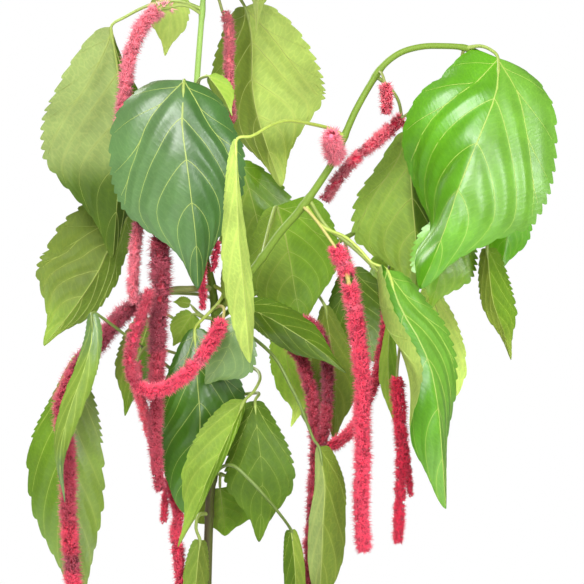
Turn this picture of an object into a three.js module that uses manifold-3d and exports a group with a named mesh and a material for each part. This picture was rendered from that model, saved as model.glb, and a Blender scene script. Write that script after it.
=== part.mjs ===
// Potted chenille plant: a woody stem with two branches, toothed leaves on long stalks and hanging catkins,
// standing in soil in a plain round pot. Millimetres, +Z up, the front looks along +Y. The origin is the
// middle of the pot's foot.
import * as THREE from 'three';
import { mergeVertices } from 'three/addons/utils/BufferGeometryUtils.js';
import Module from 'manifold-3d';

const wasm = await Module();
wasm.setup();

// Pot and soil, in millimetres
const POT_HEIGHT = 170;
const POT_RIM_RADIUS = 102;
const POT_FOOT_RADIUS = 70;
const POT_WALL = 6;
const POT_FLOOR = 8;
const POT_ROUND = 2;
const RIM_BAND_HEIGHT = 34;
const RIM_BAND_STEP = 5;
const RIM_FLARE = 2;
const DRAIN_HOLE_RADIUS = 7;
const DRAIN_HOLE_OFFSET = 34;
const DRAIN_HOLES = 3;
const DRAIN_HOLE_SIDES = 12;
const FIRST_DRAIN_TURN = 0.5;
const POT_SIDES = 24;
const SOIL_TOP = 150;
const SOIL_RINGS = [1, 0.62, 0.3];
const SOIL_MOUND = 5;
const SOIL_LUMP = 1.2;
const SOIL_LUMP_RATES = [0.21, 0.17];
const SOIL_HOLE_SIDES = 16;
const SOIL_HOLE_DEPTH = 62;
const SEAT_GAP = 0.3;

// Front view of the plant: places are drawn as column and row of a square drawing, with the depth in
// millimetres, negative towards the viewer. One step of the drawing is 0.8 mm at the stem.
const STEP_SIZE = 0.8;
const EYE_COLUMN = 292;
const EYE_ROW = 292;
const EYE_DISTANCE = 2400;
const STEM_COLUMN = 207;
const LOWEST_ROW = 584;
const LOWEST_ROW_HEIGHT = 240;

// Leaves, stalks and catkins, in millimetres
const BLADE_THICKNESS = 0.8;
const TOOTH_REACH = 2.2;
const TOOTH_LIMIT = 0.12;
const TOOTH_LEAN = 0.3;
const VEIN_LEAD = 0.05;
const LOBE = 0.04;
const LOBE_SPAN = 0.06;
const RIGHT_WAVE_SHIFT = 0.35;
const EDGE_STEPS = 4;
const WIDEST_AT = 0.37;
const ROUND_BASE = 0.65;
const TIP_DRAW = 0.62;
const TIP_FROM = 0.52;
const TIP_TO = 0.9;
const FOLD_SPAN = [0.15, 0.75];
const END_FOLD_SPAN = [0.7, 0.95];
const CURL_SPAN = [0.35, 0.75];
const LEAST_BEND = 0.002;
const STALK_RADIUS = 1.3;
const STALK_SIDES = 4;
const STALK_INTO_BLADE = 0.1;
const STALK_STEP = 32;
const STALK_TAPER = [1.1, 0.8];
const SHOOT_SIDES = 6;
const SHOOT_SWELL = 1.3;
const AXIS_RADIUS = 1.2;
const AXIS_SIDES = 4;
const AXIS_STEP = 16;
const CATKIN_SIDES = 6;
const TUFT_STEP = 9;
const TUFT_DIP = 0.62;
const CATKIN_TIP = 0.45;

const COLORS = {
  dark: 0x2f6b22, green: 0x4c9427, bright: 0x55a62c, blue: 0x5b9a62, olive: 0x7b9a3c,
  light: 0x93c04e, pale: 0xb2d178, lime: 0xc2e35a,
  crimson: 0xa32a40, red: 0xc03350, pink: 0xe4516c, coral: 0xe86a70,
  wood: 0x6f8f3c, clay: 0xb5643c, soil: 0x3b2a1e,
};

// Main stem, right branch and thin back branch, each from its root to its end
const MAIN_STEM = {
  path: [[207, 771, 0], [207, 694, 0], [206, 640, 0], [207, 584, 0], [210, 500, 0], [214, 465, 0], [215, 400, 0],
    [215, 330, 0], [214, 300, 0], [210, 275, 0], [205, 255, 0], [200, 200, 0], [197, 120, 0], [197, 80, 0],
    [203, 0, 0], [205, -50, 2], [207, -100, 4]],
  radius: [4.3, 2.0], sides: 7, steps: 18,
};
const RIGHT_BRANCH = {
  path: [[215, 314, 0], [232, 292, -4], [250, 273, -6], [262, 258, -8], [280, 233, -10], [300, 210, -12],
    [318, 185, -12], [335, 158, -11], [347, 130, -9], [356, 110, -7], [370, 85, -4], [383, 66, -2], [400, 53, 0],
    [420, 47, 1], [440, 46, 2], [465, 48, 3], [485, 58, 6], [495, 80, 8], [499, 110, 9], [500, 140, 10]],
  radius: [3.4, 2.2], sides: 6, steps: 20,
};
const BACK_BRANCH = {
  path: [[215, 322, 0], [236, 306, 24], [260, 290, 44], [310, 258, 50], [345, 238, 48], [370, 226, 50],
    [395, 227, 52], [415, 248, 50]],
  radius: [2.3, 1.9], sides: 5, steps: 9,
};

// Each leaf: its rib from base to tip, its stalk from the wood to the base, and for the half on the viewer's
// left and right [widest half-width, fold near the base, fold near the tip, curl to the edge], with folds and
// curls in degrees, positive towards the viewer, then the fold and the curl at the very tip where they differ.
// Where widest, base, lobe or draw are a pair, they are for the left and the right half.
const LEAVES = [
  { name: 'leaf_upper_left', tone: 'light', rows: 6, columns: 2, widest: [0.43, 0.5], base: [1.05, 2],
    rib: [[111, 27, 0], [117, 65, 4], [121, 100, 8], [121, 150, 12], [118, 190, 14], [113, 258, 20]],
    stalk: [[199, 10, 0], [178, 1, -2], [150, 5, -2], [125, 17, -1]],
    left: [64, 6, -4, -18], right: [32, -48, -52, 0], wave: [3, 1.6, 0.1] },
  { name: 'leaf_upper_front', tone: 'dark', rows: 6, columns: 2, base: [0.75, 0.65], lobe: [0.06, 0.04],
    rib: [[184, 80, -50], [183, 100, -60], [182, 125, -66], [185, 150, -70], [189, 180, -72], [192, 205, -72],
      [196, 240, -70], [198, 289, -64]],
    stalk: [[197, 124, 0], [195, 108, -18], [188, 92, -38]],
    left: [62.5, -4, -14, -22], right: [50, -14, -24, -24], wave: [3, 1.4, 0.3] },
  { name: 'leaf_top_left', tone: 'lime', rows: 4, columns: 1,
    rib: [[172, -22, 26], [172, 0, 30], [170, 25, 32], [165, 56, 34]],
    stalk: [[204, -28, 0], [190, -38, 12], [178, -34, 22]],
    left: [17, -8, -8, -10], right: [14, 0, -8, -10], wave: [1.5, 1.2, 0] },
  { name: 'leaf_top_center', tone: 'light', rows: 6, columns: 2, widest: 0.45, base: 0.9,
    rib: [[245, 7, 18], [250, 25, 24], [252, 45, 30], [252, 80, 36], [254, 100, 38], [260, 125, 40],
      [270, 155, 42], [281, 187, 44]],
    stalk: [[204, -42, 0], [216, -34, 6], [231, -14, 12]],
    left: [44, -28, -44, -16], right: [58, 2, -14, -14], wave: [3, 2, 0.6] },
  { name: 'leaf_thin_edge', tone: 'green', rows: 4, columns: 1,
    rib: [[208, 76, -30], [216, 86, -33], [224, 98, -33], [232, 116, -31]],
    stalk: [[198, 88, 0], [200, 79, -16]],
    left: [12, -64, -70, 0], right: [12, -30, -40, 0], wave: [0.8, 1, 0] },
  { name: 'leaf_lime_hanging', tone: 'lime', rows: 6, columns: 2, widest: 0.6, base: [0.45, 1], draw: 0.1,
    rib: [[237, 139, -108], [236, 165, -114], [237, 200, -118], [240, 250, -120], [245, 300, -118],
      [250, 363, -110]],
    stalk: [[344, 136, -10], [328, 128, -20], [300, 122, -48], [285, 121, -64], [270, 126, -82], [252, 136, -102]],
    left: [25, -48, -50, -8], right: [22, -74, -72, 0], wave: [3.5, 2.6, 0.1] },
  { name: 'leaf_center_back', tone: 'dark', rows: 5, columns: 1, widest: 0.45, base: 1,
    rib: [[240, 162, 66], [252, 200, 70], [262, 245, 72], [265, 295, 66]],
    stalk: [[200, 200, 0], [208, 186, 24], [224, 166, 52]],
    left: [34, -10, -10, -10], right: [34, -14, -14, -10], wave: [2, 1.4, 0.2] },
  { name: 'leaf_upper_right', tone: 'bright', rows: 7, columns: 2, widest: 0.42, base: [0.78, 0.75],
    lobe: [0.12, 0.01], draw: [0.15, 0.66],
    rib: [[498, 58, -14], [498, 80, -28], [494, 100, -38], [478, 140, -52], [468, 165, -58], [458, 190, -62],
      [450, 215, -64], [441, 240, -64], [432, 263, -62], [420, 289, -56]],
    stalk: [[466, 48, 3], [480, 46, -3], [491, 50, -8]],
    left: [68, -8, -72, -18, -46], right: [68, -6, -4, -16], wave: [3, 1.5, 0.5] },
  { name: 'leaf_right_olive', tone: 'olive', rows: 6, columns: 2, widest: 0.5, base: 1,
    rib: [[405, 132, 30], [410, 165, 30], [412, 195, 26], [416, 245, 18], [415, 296, 10]],
    stalk: [[376, 76, -3], [388, 86, 6], [398, 100, 15], [402, 118, 24]],
    left: [50, -4, -14, -12], right: [38, -44, -44, 0], wave: [2.5, 1.8, 0.4] },
  { name: 'leaf_center', tone: 'light', rows: 6, columns: 2, widest: [0.5, 0.34], base: [0.65, 0.4],
    lobe: [0.04, 0], draw: [0.2, 0.3],
    rib: [[276, 206, 22], [283, 226, 27], [290, 260, 30], [295, 291, 30], [301, 322, 26]],
    stalk: [[262, 258, -8], [266, 240, 4], [271, 220, 13]],
    left: [38, -6, -10, -14], right: [42, -6, -10, -14], wave: [2.5, 1.5, 0.7] },
  { name: 'leaf_center_low', tone: 'green', rows: 5, columns: 1,
    rib: [[238, 306, -12], [262, 314, -22], [290, 330, -28], [320, 350, -32], [346, 373, -34]],
    stalk: [[223, 304, -2], [230, 305, -8]],
    left: [19, -30, -34, -10], right: [20, -42, -46, 0], wave: [1.5, 1.5, 0] },
  { name: 'leaf_right_back', tone: 'bright', rows: 4, columns: 1,
    rib: [[505, 188, 30], [508, 215, 32], [506, 245, 32], [500, 272, 30]],
    stalk: [[500, 134, 10], [504, 160, 22]],
    left: [26, -18, -20, 0], right: [20, -18, -20, 0], wave: [1.5, 1.5, 0.4] },
  { name: 'leaf_right_twisted', tone: 'olive', rows: 5, columns: 1,
    rib: [[487, 248, -20], [490, 280, -22], [494, 305, -22], [503, 330, -22], [511, 360, -18]],
    stalk: [[500, 126, 10], [496, 160, -6], [490, 210, -14]],
    left: [12, -44, -52, 0], right: [21, -42, -34, 0], wave: [2, 1.8, 0.2] },
  { name: 'leaf_right_dark', tone: 'dark', rows: 5, columns: 1,
    rib: [[447, 222, -6], [444, 250, -10], [440, 275, -12], [431, 308, -12]],
    stalk: [[499, 114, 9], [480, 160, 2], [460, 196, -4]],
    left: [24, -10, -10, 0], right: [27, -12, -14, -10], wave: [1.5, 1.5, 0.1] },
  { name: 'leaf_right_front', tone: 'bright', rows: 7, columns: 3, lobe: 0.03, draw: 0.5,
    rib: [[387, 270, -40], [393, 288, -48], [402, 311, -54], [418, 338, -60], [430, 366, -64], [437, 400, -66],
      [441, 440, -64], [446, 509, -56]],
    stalk: [[306, 206, -12], [322, 226, -20], [345, 237, -28], [360, 250, -34], [372, 263, -38]],
    left: [50, 0, 4, 155, -20, 60], right: [31.5, -36, -70, -6], wave: [2.5, 2.4, 0.75] },
  { name: 'leaf_right_pale', tone: 'pale', rows: 5, columns: 1, widest: 0.52,
    rib: [[428, 285, 50], [440, 320, 52], [446, 360, 52], [444, 395, 50], [437, 432, 46]],
    stalk: [[414, 247, 50], [421, 258, 54], [426, 272, 54]],
    left: [26, -20, -20, 0], right: [16, -6, -6, 0], wave: [1.5, 1.5, 0.6] },
  { name: 'leaf_right_yellow', tone: 'lime', rows: 5, columns: 1, widest: [0.7, 0.6],
    rib: [[392, 290, -4], [390, 320, 0], [388, 360, 4], [390, 395, 6], [396, 425, 6]],
    stalk: [[310, 200, -12], [326, 226, -10], [345, 241, -16], [360, 254, -20], [374, 268, -16], [386, 279, -9]],
    left: [9, -24, -24, 0], right: [12, -50, -50, 0], wave: [1, 1.5, 0.3] },
  { name: 'leaf_right_small', tone: 'dark', rows: 4, columns: 1,
    rib: [[397, 240, 74], [394, 262, 77], [391, 280, 77], [388, 304, 74]],
    stalk: [[402, 233, 52], [402, 234, 64]],
    left: [18, -4, -4, 0], right: [16, -20, -20, 0], wave: [1, 1.5, 0.3] },
  { name: 'leaf_behind_catkin', tone: 'dark', rows: 5, columns: 1, widest: 0.5,
    rib: [[352, 268, 62], [360, 300, 64], [368, 330, 62], [374, 362, 58]],
    stalk: [[345, 238, 48], [347, 252, 58]],
    left: [31, -8, -8, -8], right: [27, -8, -8, -8], wave: [2, 1.4, 0.8] },
  { name: 'leaf_light_low', tone: 'light', rows: 5, columns: 1, widest: 0.55,
    rib: [[325, 306, 44], [331, 345, 46], [336, 392, 44], [334, 440, 40]],
    stalk: [[300, 264, 49], [311, 284, 48]],
    left: [20, -20, -20, 0], right: [20, -12, -14, 0], wave: [1.5, 1.5, 0.5] },
  { name: 'leaf_grey_low', tone: 'pale', rows: 4, columns: 1,
    rib: [[300, 345, 78], [304, 375, 80], [309, 405, 78], [312, 440, 72]],
    stalk: [[268, 285, 46], [280, 306, 62], [294, 330, 74]],
    left: [13, -10, -10, 0], right: [14, -10, -10, 0], wave: [1, 1.2, 0.1] },
  { name: 'leaf_hooked', tone: 'lime', rows: 4, columns: 1,
    rib: [[284, 328, 58], [285, 350, 60], [292, 380, 62], [298, 405, 60], [291, 427, 54]],
    stalk: [[260, 290, 44], [268, 306, 54], [278, 318, 58]],
    left: [14, -12, -12, 0], right: [14, -12, -12, 0], wave: [1, 1.2, 0.6] },
  { name: 'leaf_low_front', tone: 'light', rows: 6, columns: 2,
    rib: [[245, 400, -44], [233, 425, -62], [219, 455, -72], [207, 480, -76], [194, 515, -76], [178, 547, -68]],
    stalk: [[215, 366, 0], [236, 364, 6], [255, 369, 3], [260, 378, -16], [254, 391, -34]],
    left: [26.5, -28, -36, -10], right: [10, -56, -60, 0], wave: [2.2, 2.2, 0.4] },
  { name: 'leaf_low_back', tone: 'olive', rows: 6, columns: 2, widest: 0.5,
    rib: [[255, 401, -28], [257, 428, -40], [262, 470, -46], [262, 500, -44], [259, 542, -36]],
    stalk: [[215, 396, 0], [236, 395, 6], [254, 393, 4], [259, 394, -12]],
    left: [29, -8, -8, -10], right: [24.5, -6, -8, -10], wave: [2, 1.6, 0.2] },
  { name: 'leaf_bottom_left', tone: 'light', rows: 4, columns: 1,
    rib: [[200, 540, -20], [197, 570, -22], [195, 600, -22], [197, 640, -18]],
    stalk: [[209, 512, 0], [199, 515, -9], [196, 528, -16]],
    left: [11, -24, -24, 0], right: [12, -40, -40, 0], wave: [1, 1.5, 0.2] },
  { name: 'leaf_bottom_right', tone: 'olive', rows: 4, columns: 1,
    rib: [[291, 530, -24], [294, 555, -24], [296, 590, -22], [297, 638, -18]],
    stalk: [[213, 478, 0], [214, 476, -24], [222, 467, -46], [234, 466, -58], [250, 480, -62], [264, 495, -60],
      [279, 513, -44]],
    left: [11, -34, -34, 0], right: [9, -30, -30, 0], wave: [1, 1.5, 0.5] },
  { name: 'leaf_hanging_low', tone: 'light', rows: 6, columns: 1, widest: [0.5, 0.38],
    rib: [[319, 447, -32], [323, 470, -34], [325, 490, -34], [323, 520, -34], [322, 550, -32], [320, 590, -30],
      [318, 636, -26]],
    stalk: [[215, 336, 0], [232, 332, -2], [250, 336, -16], [275, 358, -36], [290, 385, -42], [300, 405, -40],
      [313, 438, -34]],
    left: [18, -50, -54, 0], right: [22.5, -38, -34, 0], wave: [1.5, 2, 0.1] },
  { name: 'leaf_lower_left', tone: 'bright', rows: 6, columns: 2, widest: [0.45, 0.38], base: [1.7, 1.3],
    draw: 0.25,
    rib: [[72, 360, 20], [67, 400, 16], [63, 450, 14], [66, 500, 12], [73, 550, 12], [80, 600, 14]],
    stalk: [[214, 298, 2], [195, 294, 12], [165, 294, 16], [145, 303, 18], [125, 316, 18], [105, 335, 20],
      [86, 351, 20]],
    left: [31, -12, -16, -16], right: [32, -12, -12, -12], wave: [2, 1.8, 0.3] },
  { name: 'leaf_left_twisted', tone: 'blue', rows: 6, columns: 3, lobe: 0.03,
    rib: [[92, 313, -62], [92, 338, -66], [84, 370, -68], [73, 400, -66], [63, 435, -64], [60, 465, -62],
      [65, 503, -58]],
    stalk: [[215, 398, 0], [190, 384, 0], [166, 365, 0], [150, 352, -16], [132, 340, -36], [104, 319, -54]],
    left: [9.5, -36, -30, 0], right: [10.5, -30, 0, 60], wave: [1, 1.8, 0.6] },
  { name: 'leaf_left_middle', tone: 'light', rows: 6, columns: 2, base: [0.5, 0.65],
    rib: [[128, 215, 54], [108, 250, 50], [98, 272, 46], [75, 307, 36], [44, 346, 24]],
    stalk: [[202, 225, 0], [180, 202, 28], [150, 200, 46]],
    left: [47.5, -8, -12, -12], right: [23, -48, -44, 0], wave: [2.5, 1.8, 0.2] },
  { name: 'leaf_between_catkins', tone: 'green', rows: 5, columns: 1,
    rib: [[150, 318, 4], [140, 350, 6], [132, 380, 8], [125, 416, 10]],
    stalk: [[215, 336, 0], [185, 326, 4], [165, 314, 4]],
    left: [20, -34, -36, 0], right: [20, -44, -44, 0], wave: [1.5, 1.5, 0.4] },
  { name: 'leaf_center_left', tone: 'dark', rows: 6, columns: 2, widest: [0.55, 0.44], base: [0.7, 1],
    draw: [0.3, 0.62],
    rib: [[195, 329, -14], [196, 360, -20], [198, 390, -24], [200, 415, -26], [199, 440, -26], [193, 475, -26],
      [184, 513, -24]],
    stalk: [[212, 284, 0], [223, 292, -8], [219, 302, -14], [210, 312, -18], [201, 321, -17]],
    left: [38.5, -8, -12, -10], right: [40, -8, -50, -6], wave: [2.5, 1.6, 0.8] },
  { name: 'leaf_bluish', tone: 'blue', rows: 4, columns: 1, widest: 0.5,
    rib: [[236, 318, -42], [231, 340, -46], [221, 362, -44], [205, 384, -40]],
    stalk: [[214, 326, 0], [232, 322, -2], [241, 317, -22], [240, 315, -38]],
    left: [20, -6, -6, -8], right: [24, -6, -6, -8], wave: [1.5, 1.4, 0.2] },
  { name: 'leaf_stem_strip', tone: 'green', rows: 4, columns: 1,
    rib: [[227, 262, -20], [228, 285, -23], [229, 312, -23]],
    stalk: [[206, 256, 0], [217, 252, 4], [225, 255, -8]],
    left: [14, -66, -66, 0], right: [14, -66, -66, 0], wave: [0.5, 1.5, 0.2] },
  { name: 'leaf_crown_left', tone: 'green', rows: 5, columns: 1,
    rib: [[172, -92, -20], [150, -84, -26], [125, -62, -30], [104, -30, -30], [94, -6, -28]],
    stalk: [[206, -78, 3], [190, -90, -10]],
    left: [30, -14, -14, 0], right: [30, -14, -14, 0], wave: [2, 1.5, 0.2] },
  { name: 'leaf_crown_right', tone: 'pale', rows: 5, columns: 1,
    rib: [[246, -82, -16], [256, -58, -24], [260, -24, -28], [258, 4, -28], [256, 33, -26]],
    stalk: [[206, -70, 3], [224, -84, -4], [238, -88, -12]],
    left: [30, -66, -74, 0], right: [30, -66, -74, 0], wave: [1, 1.5, 0.2] },
  { name: 'leaf_crown_front', tone: 'bright', rows: 5, columns: 1,
    rib: [[214, -98, -26], [220, -86, -54], [224, -58, -78], [226, -24, -88], [226, -8, -88]],
    stalk: [[206, -86, 3], [208, -96, -12]],
    left: [28, -16, -18, 0], right: [28, -16, -18, 0], wave: [2, 1.5, 0.6] },
  { name: 'leaf_crown_back', tone: 'green', rows: 5, columns: 1,
    rib: [[198, -94, 34], [192, -84, 62], [186, -56, 86], [182, -24, 94], [180, -10, 94]],
    stalk: [[206, -84, 3], [203, -94, 20]],
    left: [28, 14, 14, 0], right: [28, 14, 14, 0], wave: [2, 1.5, 0.4] },
];

// Sprigs: a short shoot from the wood, and small leaves that grow from its end
const SPRIGS = [
  { name: 'sprig_low', tone: 'pale', shoot: [[213, 473, 0], [221, 474, -10]], leaves: [
    { rows: 4, columns: 1,
      rib: [[238, 480, -12], [248, 497, -12], [256, 512, -12], [264, 527, -12]], stalk: [[229, 477, -11]],
      left: [8, -20, -20, 0], right: [9, -20, -20, 0], wave: [0.5, 1, 0] },
    { rows: 4, columns: 1, widest: 0.5,
      rib: [[220, 488, 6], [222, 504, 8], [224, 520, 8], [225, 536, 8]], stalk: [[220, 479, -2]],
      left: [24, -10, -10, 0], right: [28, -10, -10, 0], wave: [1, 1.4, 0.3] },
  ] },
  { name: 'sprig_left', tone: 'light', shoot: [[214, 318, 0], [203, 317, -5]], leaves: [
    { rows: 4, columns: 1,
      rib: [[193, 314, -6], [186, 323, -5], [179, 335, -4], [173, 346, -2]], stalk: [[198, 315, -6]],
      left: [11, -20, -20, 0], right: [13, -20, -20, 0], wave: [0.5, 1, 0.2] },
    { rows: 3, columns: 1,
      rib: [[190, 304, -6], [182, 302, -5], [173, 302, -4]], stalk: [[196, 311, -6]],
      left: [5, -30, -30, 0], right: [5, -30, -30, 0], wave: [0.3, 1, 0] },
  ] },
  { name: 'shoot_tip', tone: 'lime', shoot: [[207, -99, 4], [208, -114, 4]], leaves: [
    { rows: 4, columns: 1,
      rib: [[206, -122, 2], [198, -132, -6], [186, -142, -12], [172, -146, -16]], stalk: [[207, -117, 4]],
      left: [11, 24, 24, 0], right: [11, 24, 24, 0], wave: [0.5, 1, 0.2] },
    { rows: 4, columns: 1,
      rib: [[212, -122, 8], [220, -134, 14], [232, -144, 18], [246, -147, 20]], stalk: [[209, -118, 5]],
      left: [12, 24, 24, 0], right: [12, 24, 24, 0], wave: [0.5, 1, 0.2] },
    { rows: 3, columns: 1,
      rib: [[208, -124, 12], [207, -138, 20], [204, -150, 22]], stalk: [[208, -119, 7]],
      left: [6, 20, 20, 0], right: [6, 20, 20, 0], wave: [0.3, 1, 0.2] },
  ] },
];

// Each catkin: its bare axis from the wood, then its tufted length, with the tuft radius at both ends
const CATKINS = [
  { name: 'catkin_upper_left', tone: 'coral', axis: [[200, 14, 0], [190, 7, -8], [180, 5, -12]],
    path: [[172, 7, -14], [160, 9, -17], [150, 16, -20], [141, 28, -22], [135, 42, -23], [130, 55, -24],
      [127, 70, -24], [125, 90, -25], [123, 105, -25], [121, 125, -26], [124, 150, -26]], radius: [6.5, 5] },
  { name: 'catkin_top', tone: 'red', axis: [[204, -34, 0], [212, -20, -8], [219, 0, -14]],
    path: [[223, 13, -15], [229, 24, -15], [229, 60, -15], [229, 95, -15], [232, 122, -15]], radius: [4.6, 4] },
  { name: 'catkin_left_long', tone: 'crimson', thick: 2.7, axis: [[213, 288, 0], [190, 289, -5], [172, 290, -8]],
    path: [[150, 298, -10], [128, 310, -12], [112, 325, -14], [98, 345, -16], [82, 358, -18], [74, 372, -20],
      [66, 390, -22], [61, 410, -22], [66, 440, -22], [68, 470, -22], [68, 500, -22], [70, 540, -22],
      [74, 584, -22], [77, 604, -22]], radius: [7, 6.4] },
  { name: 'catkin_left_short', tone: 'pink', axis: [[202, 210, 0], [180, 196, -14], [160, 196, -22], [147, 208, -26]],
    path: [[140, 220, -27], [136, 240, -28], [134, 265, -29], [133, 290, -29], [136, 304, -30]], radius: [5, 4.6] },
  { name: 'catkin_left_low', tone: 'pink', axis: [[214, 358, 0], [190, 357, 2], [165, 350, 0], [152, 345, -18], [143, 350, -30]],
    path: [[137, 362, -36], [136, 380, -38], [140, 397, -38], [146, 418, -38], [152, 442, -38]], radius: [4.8, 4.4] },
  { name: 'catkin_left_thick', tone: 'crimson', axis: [[202, 232, 0], [186, 216, -16], [170, 222, -30]],
    path: [[160, 238, -38], [160, 262, -42], [161, 285, -46], [158, 320, -48], [157, 360, -48], [156, 400, -48],
      [155, 440, -48], [158, 475, -46], [160, 490, -46]], radius: [8.6, 4.6] },
  { name: 'catkin_curved', tone: 'pink', axis: [[214, 308, 0], [220, 306, -24], [224, 309, -46]],
    path: [[222, 322, -60], [214, 337, -68], [205, 352, -72], [185, 375, -76], [165, 388, -78], [150, 391, -78],
      [137, 384, -78], [131, 368, -78], [131, 350, -77], [138, 325, -75], [147, 302, -74], [150, 290, -74]],
    radius: [6, 5] },
  { name: 'catkin_low_pair', tone: 'red', axis: [[213, 444, 0], [198, 440, -5], [182, 452, -7]],
    path: [[174, 472, -8], [173, 492, -8], [178, 512, -8], [176, 535, -8], [179, 560, -8], [181, 592, -8]],
    radius: [5.2, 5],
    second: [[182, 452, -7], [170, 468, -6], [166, 488, -6], [164, 523, -6]], secondRadius: 3.6 },
  { name: 'catkin_center_long', tone: 'coral', axis: [[303, 206, -12], [311, 214, -26], [322, 228, -36]],
    path: [[335, 247, -42], [340, 256, -43], [345, 268, -44], [350, 288, -46], [355, 312, -47], [358, 338, -48],
      [361, 362, -48], [363, 385, -48], [362, 420, -48], [363, 460, -48], [361, 500, -48], [364, 550, -48]],
    radius: [7, 6.2] },
  { name: 'catkin_center_slanted', tone: 'red', axis: [[394, 227, 52], [394, 250, 48], [388, 272, 38]],
    path: [[386, 290, 31], [387, 312, 30], [385, 336, 28], [381, 354, 24], [377, 374, 20], [362, 412, 7],
      [353, 428, 3], [343, 438, -1], [328, 448, -5]], radius: [4.6, 5.2] },
  { name: 'catkin_center_pair', tone: 'red', axis: [[244, 301, 32], [256, 309, 25], [270, 316, 13], [286, 320, 4]],
    path: [[302, 321, 0], [313, 325, -3], [321, 338, -4], [326, 355, -4], [328, 375, -4], [327, 400, -4],
      [325, 425, -4], [322, 444, -4]], radius: [5.4, 5],
    second: [[270, 316, 13], [284, 338, 5], [300, 356, 3], [306, 372, 2], [311, 392, 1], [314, 415, 0],
      [316, 440, 0], [315, 470, 0], [313, 500, 0], [311, 530, 0], [309, 560, 0], [307, 592, 0]],
    secondRadius: 5.6 },
  { name: 'catkin_right_pair', tone: 'crimson', axis: [[408, 240, 51], [407, 272, 40], [405, 305, 12], [400, 345, -16]],
    path: [[397, 378, -26], [400, 420, -28], [402, 455, -28], [401, 480, -28], [399, 515, -28], [398, 542, -28]],
    radius: [5.6, 4.6],
    second: [[400, 420, -27], [405, 445, -25], [408, 470, -24], [410, 496, -24]], secondRadius: 3.4 },
  { name: 'catkin_right_upper', tone: 'red', axis: [[464, 48, 3], [456, 72, 10], [431, 98, 10]],
    path: [[402, 118, 4], [380, 138, -1], [358, 156, -2], [342, 174, 1], [324, 200, 6]], radius: [5.6, 5] },
  { name: 'catkin_right_small', tone: 'pink', axis: [[379, 71, -2], [382, 74, -12]],
    path: [[385, 84, -17], [387, 96, -18], [386, 113, -18]], radius: [5.6, 5] },
  { name: 'catkin_bud', tone: 'coral', axis: [[338, 153, -11], [337, 158, -19]],
    path: [[336, 158, -26], [333, 147, -40], [331, 134, -52]], radius: [8, 7.6] },
  { name: 'catkin_stem', tone: 'crimson', axis: [[202, 226, 0], [204, 230, -10]],
    path: [[211, 236, -11], [217, 246, -11], [215, 258, -11], [213, 272, -11]], radius: [3.2, 3],
    second: [[204, 230, -10], [202, 250, -11], [203, 264, -12], [203, 285, -12], [203, 309, -12]], secondRadius: 3.6 },
];

const lerp = THREE.MathUtils.lerp;
const radians = THREE.MathUtils.degToRad;
const smoothstep = THREE.MathUtils.smoothstep;

/** A place of the front drawing, as a point in millimetres. */
function spot([column, row, depth]) {
  const eyeHeight = LOWEST_ROW_HEIGHT + (LOWEST_ROW - EYE_ROW) * STEP_SIZE;
  const eyeAcross = (EYE_COLUMN - STEM_COLUMN) * STEP_SIZE;
  const size = STEP_SIZE * (EYE_DISTANCE + depth) / EYE_DISTANCE;
  return new THREE.Vector3(eyeAcross + (column - EYE_COLUMN) * size, depth, eyeHeight + (EYE_ROW - row) * size);
}

function curveThrough(places) {
  const points = places.map((place) => (place.isVector3 ? place : spot(place)));
  return new THREE.CatmullRomCurve3(points, false, 'catmullrom', 0.5);
}

/** A closed solid from points and triangles, turned so that its faces point out. */
function solidFrom(points, triangles) {
  const positions = new Float32Array(points.flatMap((point) => point.toArray()));
  const corners = triangles.flatMap(([a, b, c]) => [a, b, c]);
  let volume = 0;
  for (const [a, b, c] of triangles) {
    volume += points[a].dot(new THREE.Vector3().crossVectors(points[b], points[c]));
  }
  if (volume < 0) corners.reverse();
  const mesh = new wasm.Mesh({ numProp: 3, vertProperties: positions, triVerts: new Uint32Array(corners) });
  return new wasm.Manifold(mesh);
}

/** A three.js geometry as a closed solid. */
function solidOf(geometry) {
  geometry.deleteAttribute('normal');
  geometry.deleteAttribute('uv');
  const merged = mergeVertices(geometry, 1e-4);
  const mesh = new wasm.Mesh({
    numProp: 3,
    vertProperties: new Float32Array(merged.attributes.position.array),
    triVerts: new Uint32Array(merged.index.array),
  });
  return new wasm.Manifold(mesh);
}

function geometryOf(solid) {
  const mesh = solid.getMesh();
  const geometry = new THREE.BufferGeometry();
  geometry.setAttribute('position', new THREE.BufferAttribute(new Float32Array(mesh.vertProperties), 3));
  geometry.setIndex(new THREE.BufferAttribute(new Uint32Array(mesh.triVerts), 1));
  geometry.computeVertexNormals();
  return geometry;
}

/** A closed tube along a curve, whose radius is a function of the step and the side. */
function tube(curve, radiusAt, sides, steps) {
  const frames = curve.computeFrenetFrames(steps, false);
  const points = [];
  const triangles = [];
  for (let step = 0; step <= steps; step += 1) {
    const middle = curve.getPointAt(step / steps);
    for (let side = 0; side < sides; side += 1) {
      const turn = (side / sides) * Math.PI * 2;
      const radius = radiusAt(step / steps, step, side);
      points.push(middle.clone()
        .addScaledVector(frames.normals[step], Math.cos(turn) * radius)
        .addScaledVector(frames.binormals[step], Math.sin(turn) * radius));
    }
  }
  const at = (step, side) => step * sides + (side % sides);
  for (let step = 0; step < steps; step += 1) {
    for (let side = 0; side < sides; side += 1) {
      triangles.push([at(step, side), at(step, side + 1), at(step + 1, side + 1)]);
      triangles.push([at(step, side), at(step + 1, side + 1), at(step + 1, side)]);
    }
  }
  for (let side = 1; side < sides - 1; side += 1) {
    triangles.push([at(0, 0), at(0, side + 1), at(0, side)]);
    triangles.push([at(steps, 0), at(steps, side), at(steps, side + 1)]);
  }
  return solidFrom(points, triangles);
}

function woodTube(wood, extra) {
  const radiusAt = (along) => lerp(wood.radius[0], wood.radius[1], along) + extra;
  return tube(curveThrough(wood.path), radiusAt, wood.sides, wood.steps);
}

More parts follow.
